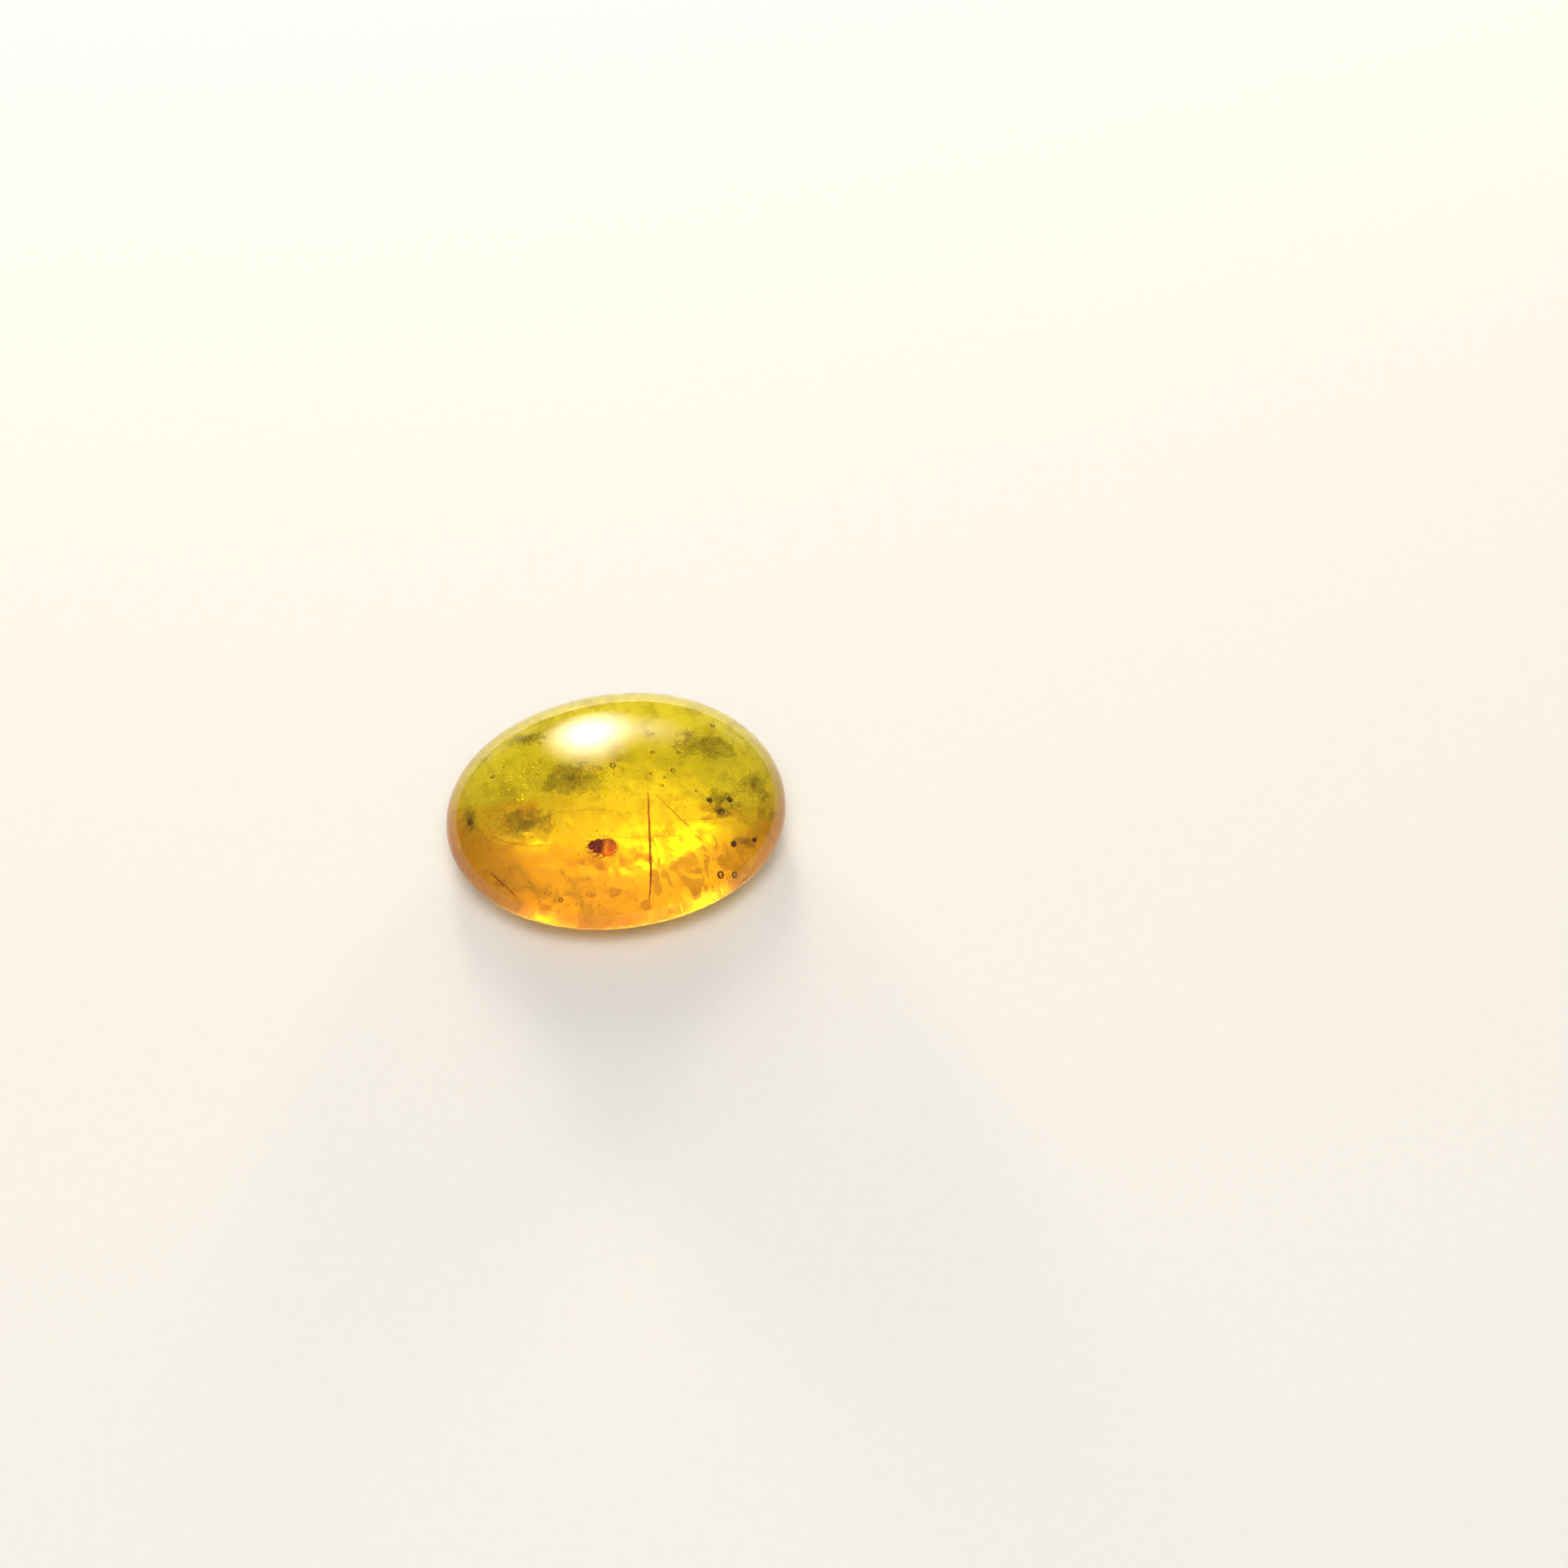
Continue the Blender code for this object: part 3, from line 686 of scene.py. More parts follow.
# %% Legs and feelers
LEG_ROUTES = (((0.45, 0.38, -0.22), (0.78, 0.62, -0.26), (0.98, 0.46, -0.34), (1.12, 0.56, -0.36)),
              ((0.12, 0.46, -0.24), (0.22, 0.80, -0.28), (0.46, 0.80, -0.36), (0.60, 0.90, -0.38)),
              ((-0.30, 0.50, -0.26), (-0.28, 0.84, -0.30), (-0.02, 0.88, -0.38), (0.10, 0.98, -0.40)))
FEELER_ROUTE = ((0.98, 0.20, 0.0), (1.16, 0.36, 0.06), (1.34, 0.34, 0.03))
FOOT_JOINTS, CLAW_SPREAD, CLUB_START = 4, 0.35, 7
shape = bmesh.new()
for sign in (1, -1):
    for route in LEG_ROUTES:
        hip, knee, ankle, tip = [Vector((x, y * sign, z)) for x, y, z in route]
        limb(shape, (hip, (hip + knee) / 2 + Vector((0, 0, 0.03)), knee), (0.05, 0.085, 0.085, 0.045))
        limb(shape, (knee, (knee + ankle) / 2, ankle), (0.04, 0.045, 0.05))
        for joint in range(FOOT_JOINTS):
            start, end = [ankle.lerp(tip, (joint + share) / FOOT_JOINTS) for share in (0, 0.9)]
            limb(shape, (start, end), (0.022, 0.036), steps=2, sides=8)
        for spread in (CLAW_SPREAD, -CLAW_SPREAD):
            ahead = (tip - ankle).normalized()
            ahead.rotate(Matrix.Rotation(spread, 3, "Z"))
            limb(shape, (tip, tip + ahead * 0.06 + Vector((0, 0, -0.02))), (0.016, 0.004), sides=6)
    feeler = smooth_route([(x, y * sign, z) for x, y, z in FEELER_ROUTE], 5)
    for joint, (start, end) in enumerate(zip(feeler, feeler[1:])):
        thick = 0.026 if joint < CLUB_START else 0.045
        limb(shape, (start, start.lerp(end, 0.92)), (thick * 0.6, thick, thick * 0.9), steps=2, sides=8)
finish_piece(piece_mesh(shape, "beetle_limbs", limb_shell, set_beetle), ["insect"])

# %% [markdown]
# ## The gap round the beetle
#
# When the resin shrank from the beetle it left a thin gap round the tail, which mirrors the light
# and draws a bright gold rim there, and a curl of gas over the back. Both are thin solids of their
# own: a crescent that follows the wing cases' edge, and a short curl.

# %% The gap round the beetle
shape = bmesh.new()
turns = [math.radians(-80 + 10 * step) for step in range(17)]
crescent = [Vector((-0.42 - 0.86 * math.cos(a), 0.97 * math.sin(a), 0.02)) for a in turns]
limb(shape, crescent, (0.006, 0.03, 0.045, 0.05, 0.045, 0.03, 0.006), steps=3)
limb(shape, ((0.10, -0.62, 0.50), (-0.08, -0.66, 0.60), (-0.16, -0.46, 0.66), (-0.04, -0.34, 0.66),
             (0.06, -0.40, 0.62)), (0.02, 0.05, 0.055, 0.05, 0.02))
finish_piece(piece_mesh(shape, "beetle_gap", gold_glint, set_beetle))

# %% [markdown]
# ## Trees that grow what repeats
#
# Bubbles, glints, grains and rags of film come in hundreds, and a fibre follows a path, so they
# are grown by geometry nodes. Each tree has named inputs and a fixed seed. Its result is turned
# into a plain mesh at once and the modifier goes, because an exported model keeps only real meshes.

# %% Trees that grow what repeats
def new_tree(name, **inputs):
    """A geometry tree with named inputs, each of a kind such as Float, Int, Vector or Material."""
    tree = bpy.data.node_groups.new(name, "GeometryNodeTree")
    tree.interface.new_socket("Geometry", in_out="INPUT", socket_type="NodeSocketGeometry")
    for label, kind in inputs.items():
        tree.interface.new_socket(label, in_out="INPUT", socket_type="NodeSocket" + kind)
    tree.interface.new_socket("Geometry", in_out="OUTPUT", socket_type="NodeSocketGeometry")
    return tree, tree.nodes.new("NodeGroupInput").outputs


def end_tree(tree, geometry, material):
    """Make the instances real, give them their finish, and lead them out."""
    real = add_node(tree, "GeometryNodeRealizeInstances", {0: geometry}).outputs[0]
    dressed = add_node(tree, "GeometryNodeSetMaterial", {0: real, "Material": material}).outputs[0]
    tree.links.new(dressed, tree.nodes.new("NodeGroupOutput").inputs[0])
    print(tree.name, "nodes:", len(tree.nodes))


def here(tree):
    """The place of each point."""
    return add_node(tree, "GeometryNodeInputPosition").outputs[0]


def chance(tree, low, high, seed):
    """A random number, or a random vector where low is one, for each point."""
    vector = isinstance(low, tuple)
    first, kind = (0, "FLOAT_VECTOR") if vector else (2, "FLOAT")
    made = add_node(tree, "FunctionNodeRandomValue", {first: low, first + 1: high, 8: seed},
                    data_type=kind)
    return made.outputs[0 if vector else 1]


def grow(name, tree, slot, source=None, stands_for=(), **values):
    """Run a tree on a mesh, or on nothing, and keep what it makes as a finished piece."""
    item = bpy.data.objects.new(name, source or bpy.data.meshes.new(name))
    bpy.context.collection.objects.link(item)
    modifier = item.modifiers.new(name, "NODES")
    modifier.node_group = tree
    for socket in tree.interface.items_tree:
        if socket.in_out == "INPUT" and socket.name in values:
            modifier[socket.identifier] = values[socket.name]
    depsgraph = bpy.context.evaluated_depsgraph_get()
    mesh = bpy.data.meshes.new_from_object(item.evaluated_get(depsgraph), depsgraph=depsgraph)
    item.modifiers.clear()
    item.data = mesh
    mesh.name = name
    finish_piece(item, stands_for)


# %% [markdown]
# ## The fibres
#
# Two thin red-brown hairs of plant cross the stone. A fibre is a curve through a few points with
# a round section, thinner at both ends, and its surface is roughened a little along its length.
# The tree does that for both, from one line of points each, on the level where the stone is
# parted. Beside each runs a gap like the beetle's, which is a second, thinner fibre of gas.

# %% The fibres
PARTING = 4.4
FIBRE_POINTS, FIBRE_SIDES = 160, 12
FIBRES = {
    "long_fibre": (0.07, red_fibre, ((2.20, -1.63), (1.40, -3.60), (0.47, -5.94), (-0.27, -7.85),
                                     (-0.86, -9.36), (-1.51, -10.88), (-2.05, -12.00))),
    "short_fibre": (0.045, gold_fibre, ((2.62, -2.04), (2.84, -2.82), (3.11, -3.84), (3.34, -4.65),
                                        (3.60, -5.56), (3.91, -6.20))),
}
fibre_tree, given = new_tree("fibre", Radius="Float", Taper="Float", Roughness="Float",
                             Finish="Material")
tree = fibre_tree
line = add_node(tree, "GeometryNodeMeshToCurve", {"Mesh": given["Geometry"]}).outputs[0]
fine = add_node(tree, "GeometryNodeResampleCurve", {"Curve": line, "Count": FIBRE_POINTS}).outputs[0]
along = add_node(tree, "GeometryNodeSplineParameter").outputs["Factor"]
end_share = calc(tree, "POWER", calc(tree, "ABSOLUTE", calc(tree, "MULTIPLY_ADD", along, 2.0, -1.0)), 6.0)
width = calc(tree, "MULTIPLY", given["Radius"], calc(
    tree, "SUBTRACT", 1.0, calc(tree, "MULTIPLY", end_share, given["Taper"])))
ring = add_node(tree, "GeometryNodeCurvePrimitiveCircle", {"Resolution": FIBRE_SIDES, "Radius": 1.0})
rod = add_node(tree, "GeometryNodeCurveToMesh", {
    "Curve": fine, "Profile Curve": ring.outputs[0], "Scale": width, "Fill Caps": True}).outputs[0]
grain = calc(tree, "SUBTRACT", cloudy(tree, here(tree), 6000.0, 2.0), 0.5)
shift = vector_calc(tree, "SCALE", add_node(tree, "GeometryNodeInputNormal").outputs[0],
                    calc(tree, "MULTIPLY", grain, given["Roughness"]))
rough = add_node(tree, "GeometryNodeSetPosition", {"Geometry": rod, "Offset": shift}).outputs[0]
end_tree(tree, rough, given["Finish"])


def line_mesh(name, routes):
    """A mesh that is only lines, each through the points of a route in metres."""
    mesh = bpy.data.meshes.new(name)
    points, edges = [], []
    for route in routes:
        edges += [(len(points) + i, len(points) + i + 1) for i in range(len(route) - 1)]
        points += route
    mesh.from_pydata(points, edges, [])
    return mesh


for name, (radius, finish, route) in FIBRES.items():
    points = smooth_route([(x, y, PARTING) for x, y in route], 8)
    grow(name + "_hair", fibre_tree, "fibre", line_mesh(name, [[point * MM for point in points]]),
         [name], Radius=radius * MM, Taper=0.6, Roughness=radius * 0.25 * MM, Finish=finish)
    edge = [(point + Vector((radius * 1.5, 0, 0.01))) * MM for point in points[4:-6]]
    grow(name + "_gap", fibre_tree, "amber", line_mesh(name, [edge]), Radius=radius * 0.3 * MM,
         Taper=0.9, Roughness=0.01 * MM, Finish=gold_glint)

# %% [markdown]
# ## Crumbs of bark
#
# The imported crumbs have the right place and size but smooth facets. A copy of each is joined up,
# divided, and worn by two noises into pitted bark. The copy stays a little smaller than the crumb,
# so it still lies clear of the wall of its pocket.

# %% Crumbs of bark
SAME_POINT, COARSE_PITS, FINE_PITS = 0.0005 * MM, 0.12 * MM, 0.05 * MM


def worn_crumb(name, node):
    """A crumb with the node's place and form, its surface pitted."""
    shape = bmesh.new()
    shape.from_mesh(node.data)
    bmesh.ops.remove_doubles(shape, verts=shape.verts, dist=SAME_POINT)
    bmesh.ops.subdivide_edges(shape, edges=shape.edges, cuts=3, use_grid_fill=True, smooth=0.6)
    centre = sum((vert.co for vert in shape.verts), Vector()) / len(shape.verts)
    for vert in shape.verts:
        pit = abs(noise.noise(vert.co / COARSE_PITS)) + 0.5 * abs(noise.noise(vert.co / FINE_PITS))
        vert.co = centre + (vert.co - centre) * (0.98 - 0.25 * pit)
    finish_piece(piece_mesh(shape, name, bark), [node.name])


for name in sorted(nodes):
    if name.startswith("debris_crumb"):
        worn_crumb(name.replace("debris", "bark"), nodes[name])

# %% [markdown]
# ## Strewn grains
#
# Dirt hangs in the resin in loose clouds, thick at the heart and ragged at the edge, and glints of
# gas are strewn between. A tree scatters points about a middle, drops those where a noise is low,
# which tears the cloud, and those outside the stone's own rule, and puts a flat grain on the rest.

# %% Strewn grains
TEAR_SCALE, NEAR_SKIN, NEAR_BASE = 900.0, 0.955, 0.15 * MM
grain_tree, given = new_tree("strewn_grains", Count="Int", Seed="Int", Middle="Vector",
                             Reach="Vector", Facing="Vector", Tumble="Float", Smallest="Float",
                             Largest="Float", Flatness="Float", Tearing="Float", Detail="Int",
                             Finish="Material")
tree = grain_tree
seeds = [given["Seed"]] + [calc(tree, "ADD", given["Seed"], step) for step in range(1, 5)]
throw = vector_calc(tree, "MULTIPLY", chance(tree, (-1.0,) * 3, (1.0,) * 3, seeds[0]), given["Reach"])
drawn_in = vector_calc(tree, "SCALE", throw, calc(tree, "POWER", chance(tree, 0.0, 1.0, seeds[1]), 0.6))
turned = add_node(tree, "ShaderNodeVectorRotate", {"Vector": drawn_in, "Angle": CAMERA_TURN},
                  rotation_type="Z_AXIS").outputs[0]
points = add_node(tree, "GeometryNodePoints", {
    "Count": given["Count"], "Position": vector_calc(tree, "ADD", turned, given["Middle"])}).outputs[0]
spot = here(tree)
height = add_node(tree, "ShaderNodeSeparateXYZ", {0: spot}).outputs["Z"]
in_dome = calc(tree, "GREATER_THAN", height, GIRDLE_HEIGHT)
rise = calc(tree, "MULTIPLY_ADD", in_dome, DOME_RISE - BELLY_DROP, BELLY_DROP)
halves = add_node(tree, "ShaderNodeCombineXYZ", {0: STONE_LENGTH / 2, 1: STONE_WIDTH / 2, 2: rise})
from_middle = vector_calc(tree, "SUBTRACT", spot, (0, 0, GIRDLE_HEIGHT))
level = vector_calc(tree, "LENGTH", vector_calc(tree, "DIVIDE", from_middle, halves.outputs[0]))
outside = calc(tree, "MAXIMUM", calc(tree, "GREATER_THAN", level, NEAR_SKIN),
               calc(tree, "LESS_THAN", height, NEAR_BASE))
torn = calc(tree, "LESS_THAN", cloudy(tree, spot, TEAR_SCALE, 3.0), given["Tearing"])
kept = add_node(tree, "GeometryNodeDeleteGeometry", {
    "Geometry": points, "Selection": calc(tree, "MAXIMUM", outside, torn)}).outputs[0]
ball = add_node(tree, "GeometryNodeMeshIcoSphere", {"Radius": 1.0, "Subdivisions": given["Detail"]})
tumbled = vector_calc(tree, "SCALE", chance(tree, (-math.pi,) * 3, (math.pi,) * 3, seeds[4]),
                      given["Tumble"])
size = chance(tree, given["Smallest"], given["Largest"], seeds[2])
squash = add_node(tree, "ShaderNodeCombineXYZ", {0: 1.0, 1: chance(tree, 0.5, 1.0, seeds[3]),
                                                 2: given["Flatness"]}).outputs[0]
grains = add_node(tree, "GeometryNodeInstanceOnPoints", {
    "Points": kept, "Instance": ball.outputs[0],
    "Rotation": vector_calc(tree, "ADD", tumbled, given["Facing"]),
    "Scale": vector_calc(tree, "SCALE", squash, size)}).outputs[0]
end_tree(tree, grains, given["Finish"])

# %% [markdown]
# ## Placing what is strewn
#
# A cloud is told by its middle, by how far it reaches across, away and up, and by how many grains
# are thrown. Dirt tumbles as it falls, but flat specks settle level with the flow, so a lean can
# be given too, and how far each grain may tumble out of it.

# %% Placing what is strewn
def at_parting(x, y, lift=0.0):
    """A point on the level where the stone is parted, from its place in mm."""
    return Vector((x, y, PARTING + lift)) * MM


def lean(right, back):
    """The turn of a flat thing whose face leans so many degrees to the right and to the back."""
    return Vector((-math.radians(back), math.radians(right), CAMERA_TURN))


def strew(name, middle, reach, count, sizes, finish, slot, seed, stands_for=(), facing=(0, 0),
          tumble=1.0, flatness=0.5, tearing=0.45, detail=1):
    """Strew grains about a point; the reach is across, away and up, and the sizes are radii, in mm."""
    grow(name, grain_tree, slot, None, stands_for, Count=count, Seed=seed, Middle=middle,
         Reach=Vector(reach) * MM, Facing=lean(*facing), Tumble=tumble, Smallest=sizes[0] * MM,
         Largest=sizes[1] * MM, Flatness=flatness, Tearing=tearing, Detail=detail, Finish=finish)


# %% [markdown]
# ## Torn films
#
# Between its grains a cloud holds a torn film of finer dirt. A grid of small squares loses those
# where a noise is low, the more so towards its edge, sags a little, and is closed into a thin
# sheet. Seen through the dome, the rags read as soft dark patches.

# %% Torn films
FILM_SQUARE, FILM_THICKNESS, FILM_SAG = 0.035 * MM, 0.02 * MM, 0.2
film_tree, given = new_tree("torn_film", Half="Vector", Middle="Vector", Seed="Float", Holes="Float",
                            Facing="Vector", Grain="Float", Finish="Material")
tree = film_tree
halves = add_node(tree, "ShaderNodeSeparateXYZ", {0: given["Half"]}).outputs
grid = add_node(tree, "GeometryNodeMeshGrid", {
    "Size X": calc(tree, "MULTIPLY", halves["X"], 2.0), "Size Y": calc(tree, "MULTIPLY", halves["Y"], 2.0),
    "Vertices X": calc(tree, "DIVIDE", halves["X"], FILM_SQUARE),
    "Vertices Y": calc(tree, "DIVIDE", halves["Y"], FILM_SQUARE)}).outputs["Mesh"]
spot = here(tree)
noise_place = vector_calc(tree, "SCALE", spot, calc(tree, "DIVIDE", 1.0, given["Grain"]))
noise_shift = add_node(tree, "ShaderNodeCombineXYZ", {2: given["Seed"]}).outputs[0]
lace = cloudy(tree, vector_calc(tree, "ADD", noise_place, noise_shift), 1.0, 6.0, 0.65)
share = vector_calc(tree, "LENGTH", vector_calc(
    tree, "DIVIDE", spot, vector_calc(tree, "ADD", given["Half"], (0, 0, 1))))
needed = calc(tree, "MULTIPLY_ADD", calc(tree, "POWER", share, 3.0), 0.3, given["Holes"])
torn = add_node(tree, "GeometryNodeDeleteGeometry", {
    "Geometry": grid, "Selection": calc(tree, "LESS_THAN", lace, needed)}, domain="FACE").outputs[0]
thick = add_node(tree, "GeometryNodeExtrudeMesh", {"Mesh": torn, "Offset Scale": FILM_THICKNESS,
                                                   "Individual": False}).outputs["Mesh"]
both = add_node(tree, "GeometryNodeJoinGeometry")
for side in (thick, add_node(tree, "GeometryNodeFlipFaces", {"Mesh": torn}).outputs[0]):
    tree.links.new(side, both.inputs[0])
closed = add_node(tree, "GeometryNodeMergeByDistance", {"Geometry": both.outputs[0],
                                                       "Distance": 0.001 * MM}).outputs[0]
drop = calc(tree, "MULTIPLY", calc(tree, "SUBTRACT", lace, 0.5),
            calc(tree, "MULTIPLY", given["Grain"], FILM_SAG))
sagged = add_node(tree, "GeometryNodeSetPosition", {
    "Geometry": closed, "Offset": add_node(tree, "ShaderNodeCombineXYZ", {2: drop}).outputs[0]}).outputs[0]
placed = add_node(tree, "GeometryNodeTransform", {
    "Geometry": sagged, "Translation": given["Middle"], "Rotation": given["Facing"]}).outputs[0]
end_tree(tree, placed, given["Finish"])


def spread_film(name, middle, half, seed, holes, finish, stands_for=(), grain=1.1):
    """Spread a torn film about a point; half sizes across and away, and the grain, are in mm."""
    grow(name, film_tree, "debris", None, stands_for, Half=Vector((*half, 0)) * MM, Middle=middle,
         Seed=seed, Holes=holes, Facing=lean(0, 0), Grain=grain * MM, Finish=finish)


# %% [markdown]
# ## Clouds of dirt
#
# Five dark clouds lie where bark dust blew onto the fresh resin and the next flow covered it, so
# they all lie along one level. Each is a swarm of grains with one film above it and one below, and
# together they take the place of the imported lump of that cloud. Thinner dust lies round the crumbs.

# %% Clouds of dirt
DUST_SIZES = (0.015, 0.05)
DIRT_CLOUDS = {
    "left": ((-8.1, -0.4), (2.5, 1.5), 2200),
    "middle": ((-2.9, 2.3), (2.9, 1.9), 1900),
    "right": ((10.9, -3.5), (1.15, 1.3), 1100),
    "back_left": ((-4.5, 8.3), (1.5, 1.0), 800),
    "back_right": ((8.6, 1.6), (2.9, 1.8), 1200),
}
for seed, (name, (place, half, count)) in enumerate(DIRT_CLOUDS.items()):
    strew("dirt_grains_" + name, at_parting(*place), (half[0] * 1.45, half[1] * 1.45, 0.5), count,
          DUST_SIZES, olive_dirt, "debris", 20 + seed * 7, ["dirt_cloud_" + name])
    for layer, (lift, holes) in enumerate(((0.25, 0.46), (-0.25, 0.42))):
        spread_film(f"dirt_film_{name}_{layer + 1}", at_parting(*place, lift),
                    (half[0] * 1.25, half[1] * 1.25), seed * 3.7 + layer * 1.9, holes, olive_veil,
                    ["dirt_cloud_" + name])

CRUMB_DUST = {"left": ((-12.1, 2.4), (0.8, 1.9, 0.5), 700), "right": ((7.5, -4.6), (1.9, 1.9, 0.5), 1500),
              "lower_right": ((7.8, -9.1), (1.6, 0.7, 0.4), 260)}
for seed, (name, (place, reach, count)) in enumerate(CRUMB_DUST.items()):
    strew("crumb_dust_" + name, at_parting(*place), reach, count, DUST_SIZES, olive_dirt, "debris",
          170 + seed * 5)
    spread_film("crumb_film_" + name, at_parting(*place, -0.3), (reach[0] * 1.1, reach[1] * 1.1),
                50 + seed * 2.3, 0.44, olive_veil)

# %% [markdown]
# ## Glints
#
# Flat specks of gas lie in the upper part of the stone, about level with the flow of the resin,
# and pale flecks between them make it look slightly milky. A thin glint mirrors the window to the
# eye only where it faces half way between them, so the glints share one lean and tumble little.

# %% Glints
strew("pale_flecks", Vector((0, 3.5, 5.2)) * MM, (13.0, 10.0, 3.0), 5200, (0.012, 0.04), pale_film,
      "amber", 310, tearing=0.46)
GLINTS = {
    "glints_left": ((640, 962), 4.6, (5.4, 4.6, 1.6), 420, (-12, 8)),
    "glints_middle": ((760, 950), 5.0, (8.0, 5.4, 1.6), 420, (-2, 7)),
    "glints_right": ((912, 965), 4.8, (3.4, 4.0, 1.4), 380, (12, 6)),
    "glints_low": ((720, 1105), 3.8, (5.0, 2.2, 0.8), 160, (-6, -14)),
}
for seed, (name, (spot, height, reach, count, facing)) in enumerate(GLINTS.items()):
    strew(name, inside_at(spot, height), reach, count, (0.03, 0.10), gold_glint, "amber",
          120 + seed * 9, facing=facing, tumble=0.08, flatness=0.25, tearing=0.48, detail=2)

# %% [markdown]
# ## Stains and fine lines
#
# A few faint brown stains stay where a crumb has rotted away: they are torn films of a warmer
# tone. Four hair-thin lines are painted edges of light: they trace where the base turns the light
# back inside the stone. A crack with a bright edge runs down the left of the stone, and round one
# bubble the strain has split the amber into a small star. All of these lines are rods thinner than
# a hair, grown by the fibre's own tree.

# %% Stains and fine lines
STAINS = {"low": ((757, 1100), 3.4, (0.7, 0.6)), "left": ((728, 1102), 3.4, (0.5, 0.4)),
          "right": ((889, 1000), 4.2, (0.9, 0.8)), "foot": ((797, 1116), 3.6, (0.6, 0.8)),
          "far": ((616, 1088), 3.6, (0.7, 0.5))}
for seed, (name, (spot, height, half)) in enumerate(STAINS.items()):
    spread_film("brown_stain_" + name, inside_at(spot, height), half, 70 + seed * 1.7, 0.36,
                brown_veil, grain=0.7)

STAR, STAR_ARMS, STAR_REACH = (850, 904), 11, (15, 10)
star_turns = [math.tau * arm / STAR_ARMS + 0.3 * math.sin(arm * 3) for arm in range(STAR_ARMS)]
star_arms = [[STAR, (STAR[0] + STAR_REACH[0] * math.cos(a), STAR[1] + STAR_REACH[1] * math.sin(a))]
             for a in star_turns]
# The first four lines are painted edges of light: they trace where the base turns the light back inside the
# stone.
FINE_LINES = {
    "painted_light_edges": (4.4, 0.022, gold_fibre, [[(725, 1040), (758, 1033), (802, 1031), (850, 1029)],
                                            [(820, 1013), (850, 1010), (882, 1008), (927, 996)],
                                            [(575, 1014), (600, 1028), (641, 1041), (690, 1041)],
                                            [(690, 1003), (706, 999), (730, 998), (752, 998), (770, 1003)]]),
    "crack_edges": (3.7, 0.026, gold_glint, [[(609, 1074), (624, 1087), (641, 1103)],
                                             [(598, 1066), (606, 1074), (612, 1082)]]),
    "crack_heart": (3.7, 0.05, red_fibre, [[(604, 1075), (620, 1089), (638, 1106)]]),
    "star": (5.6, 0.016, red_fibre, star_arms),
}
for name, (height, radius, finish, routes) in FINE_LINES.items():
    lines = [smooth_route([inside_at(spot, height) for spot in route], 8) for route in routes]
    grow(name, fibre_tree, "amber", line_mesh(name, lines), Radius=radius * MM, Taper=0.8,
         Roughness=radius * 0.2 * MM, Finish=finish)

# %% [markdown]
# ## Bubbles
#
# Gas bubbles show as fine dark rings with a bright heart. Light meets them from the denser side,
# so a bubble is a small round face with the refraction turned about: one over the amber's own.
# Its dark ring is painted shade: the face's colour turns dark brown towards its edge as seen. A
# few stand where they catch the eye, and each keeps its own place and size. Round the beetle and
# here and there are beads too small to look through, which only mirror the light.

# %% Bubbles
PAINTED_RING_SHADE_TONE = (0.05, 0.03, 0.005)
gas, shader, tree = new_material("gas_in_amber")
# Painted shade: the bubble's colour turns dark towards its edge as seen, which draws its dark ring.
edge_on = add_node(tree, "ShaderNodeLayerWeight", {"Blend": 0.35}).outputs["Facing"]
painted_ring_shade = colour_run(tree, edge_on, (0.15, (1.0, 1.0, 1.0)), (0.38, PAINTED_RING_SHADE_TONE))
gas_surface = add_node(tree, "ShaderNodeBsdfGlass", {"IOR": 1 / AMBER_IOR, "Roughness": 0.02,
                                                     "Color": painted_ring_shade})
tree.links.new(gas_surface.outputs[0], tree.nodes["Material Output"].inputs["Surface"])
tree.nodes.remove(shader)

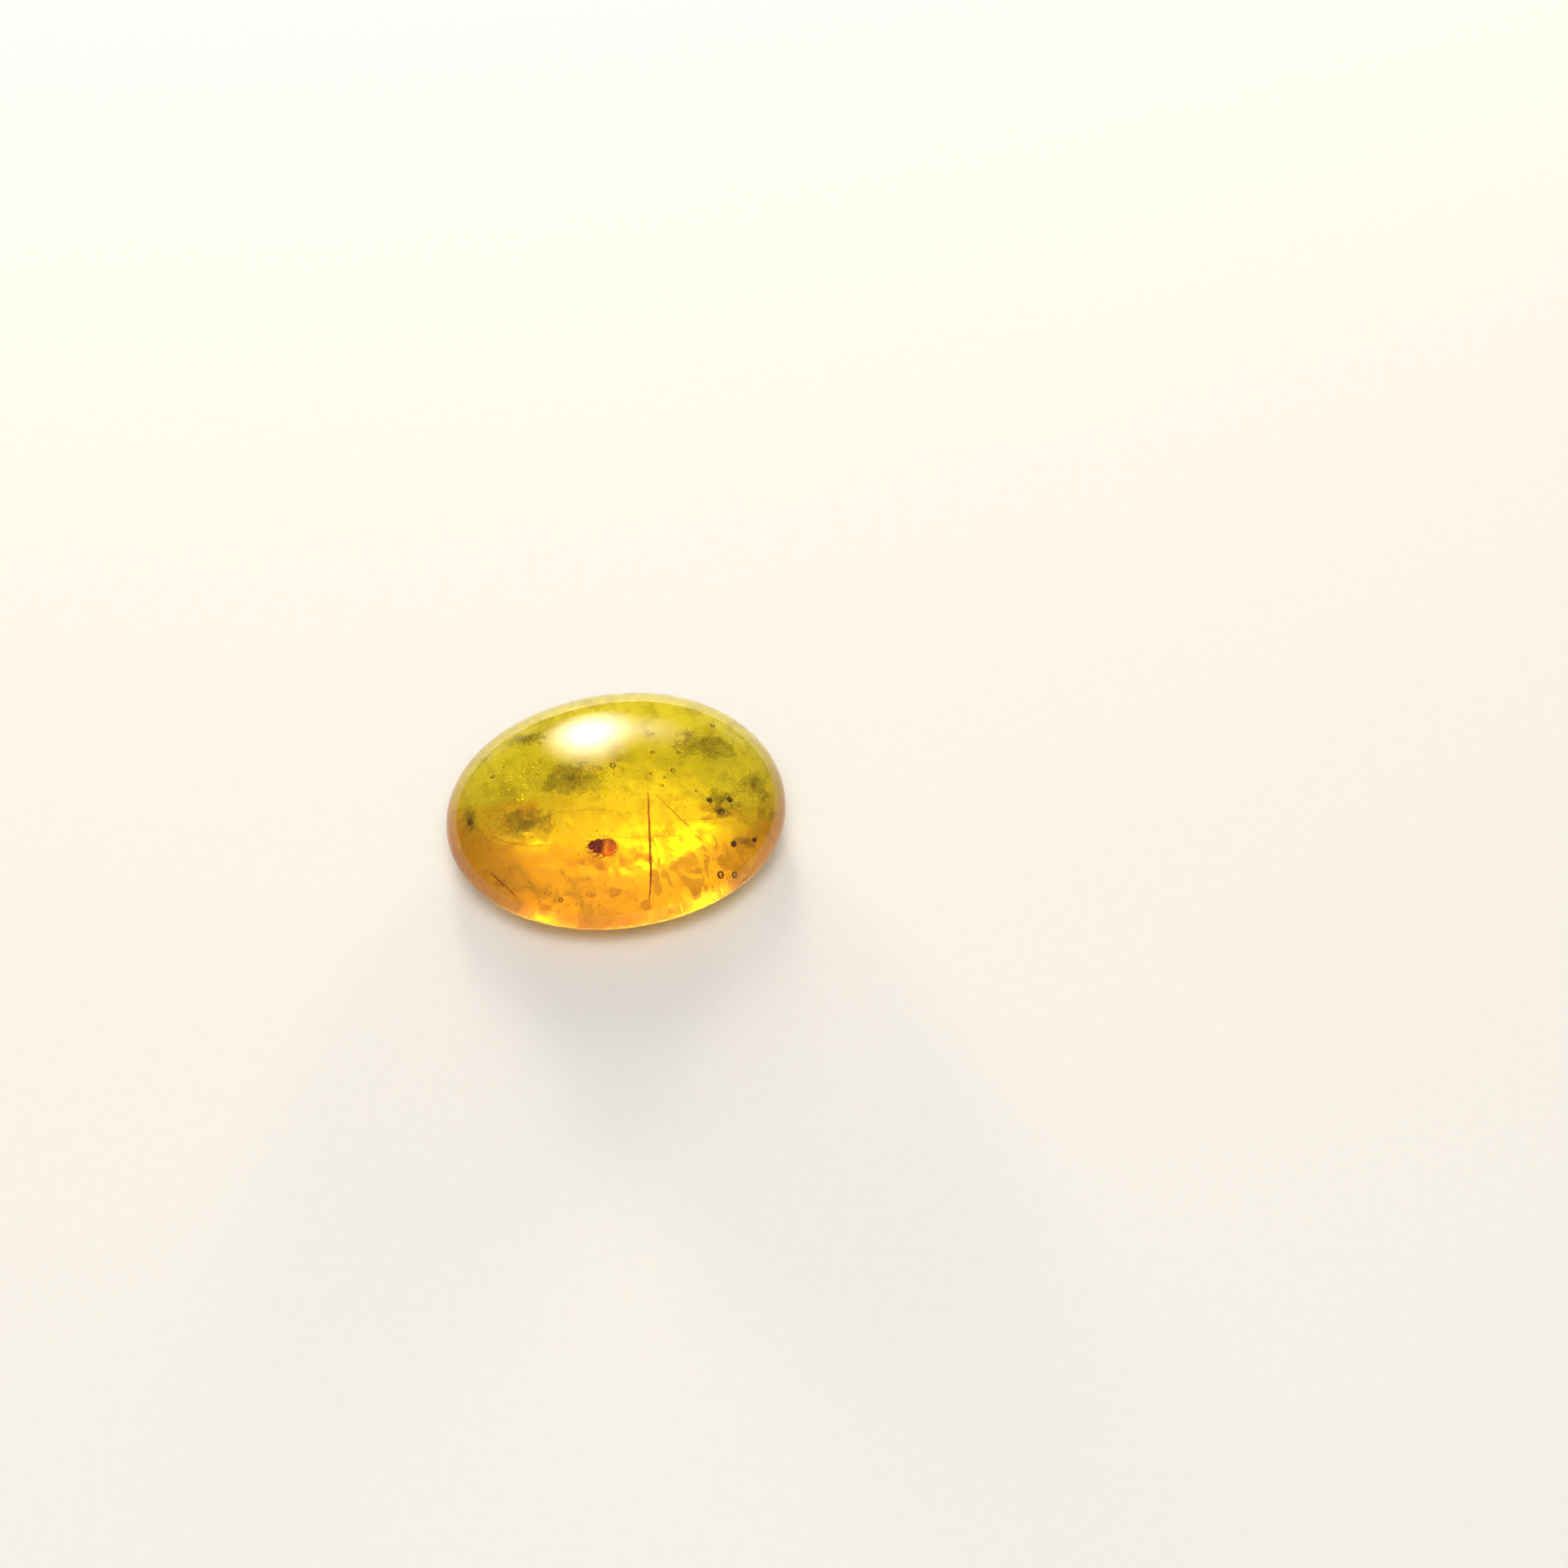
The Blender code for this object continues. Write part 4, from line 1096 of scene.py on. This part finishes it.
bubble_tree, given = new_tree("bubbles", Finish="Material")
tree = bubble_tree
size = add_node(tree, "GeometryNodeInputNamedAttribute", {"Name": "size"}, data_type="FLOAT").outputs[0]
ball = add_node(tree, "GeometryNodeMeshIcoSphere", {"Radius": 1.0, "Subdivisions": 3}).outputs[0]
dots = add_node(tree, "GeometryNodeMeshToPoints", {"Mesh": given["Geometry"]}).outputs[0]
bubbles = add_node(tree, "GeometryNodeInstanceOnPoints", {"Points": dots, "Instance": ball,
                                                          "Scale": size}).outputs[0]
end_tree(tree, bubbles, given["Finish"])

BUBBLES = (((607, 957), 0.198, 5.0), ((836, 927), 0.198, 5.0), ((829, 949), 0.216, 5.0),
           ((804, 927), 0.18, 5.2), ((804, 904), 0.162, 5.6), ((878, 894), 0.216, 5.0),
           ((868, 912), 0.198, 5.0), ((816, 968), 0.144, 4.6), ((819, 958), 0.126, 4.6),
           ((802, 953), 0.162, 5.0), ((755, 943), 0.27, 5.4), ((888, 1078), 0.306, 4.0),
           ((905, 1078), 0.27, 4.0), ((691, 1109), 0.18, 3.8), ((620, 945), 0.09, 4.5),
           ((665, 940), 0.108, 4.5))
BEADS = (((735, 1024), 0.099, 4.8), ((739, 1029), 0.072, 4.8), ((754, 1023), 0.081, 4.6),
         ((748, 1028), 0.054, 4.7), ((733, 1062), 0.072, 4.5), ((713, 1053), 0.063, 4.5),
         ((757, 1054), 0.063, 4.5), ((727, 1030), 0.063, 4.6), ((744, 1033), 0.054, 4.9),
         ((861, 1030), 0.054, 4.5), ((773, 1001), 0.09, 4.6), ((633, 991), 0.081, 4.6),
         ((799, 972), 0.09, 4.5), ((859, 974), 0.081, 4.6), ((707, 1066), 0.054, 4.4),
         ((653, 1078), 0.09, 4.0))
for name, balls, finish in (("gas_bubbles", BUBBLES, gas), ("gold_beads", BEADS, gold_glint)):
    mesh = bpy.data.meshes.new(name)
    mesh.from_pydata([inside_at(spot, height) for spot, _, height in balls], [], [])
    sizes = mesh.attributes.new("size", "FLOAT", "POINT")
    for value, (_, radius, _) in zip(sizes.data, balls):
        value.value = radius * MM
    grow(name, bubble_tree, "amber", mesh, Finish=finish)
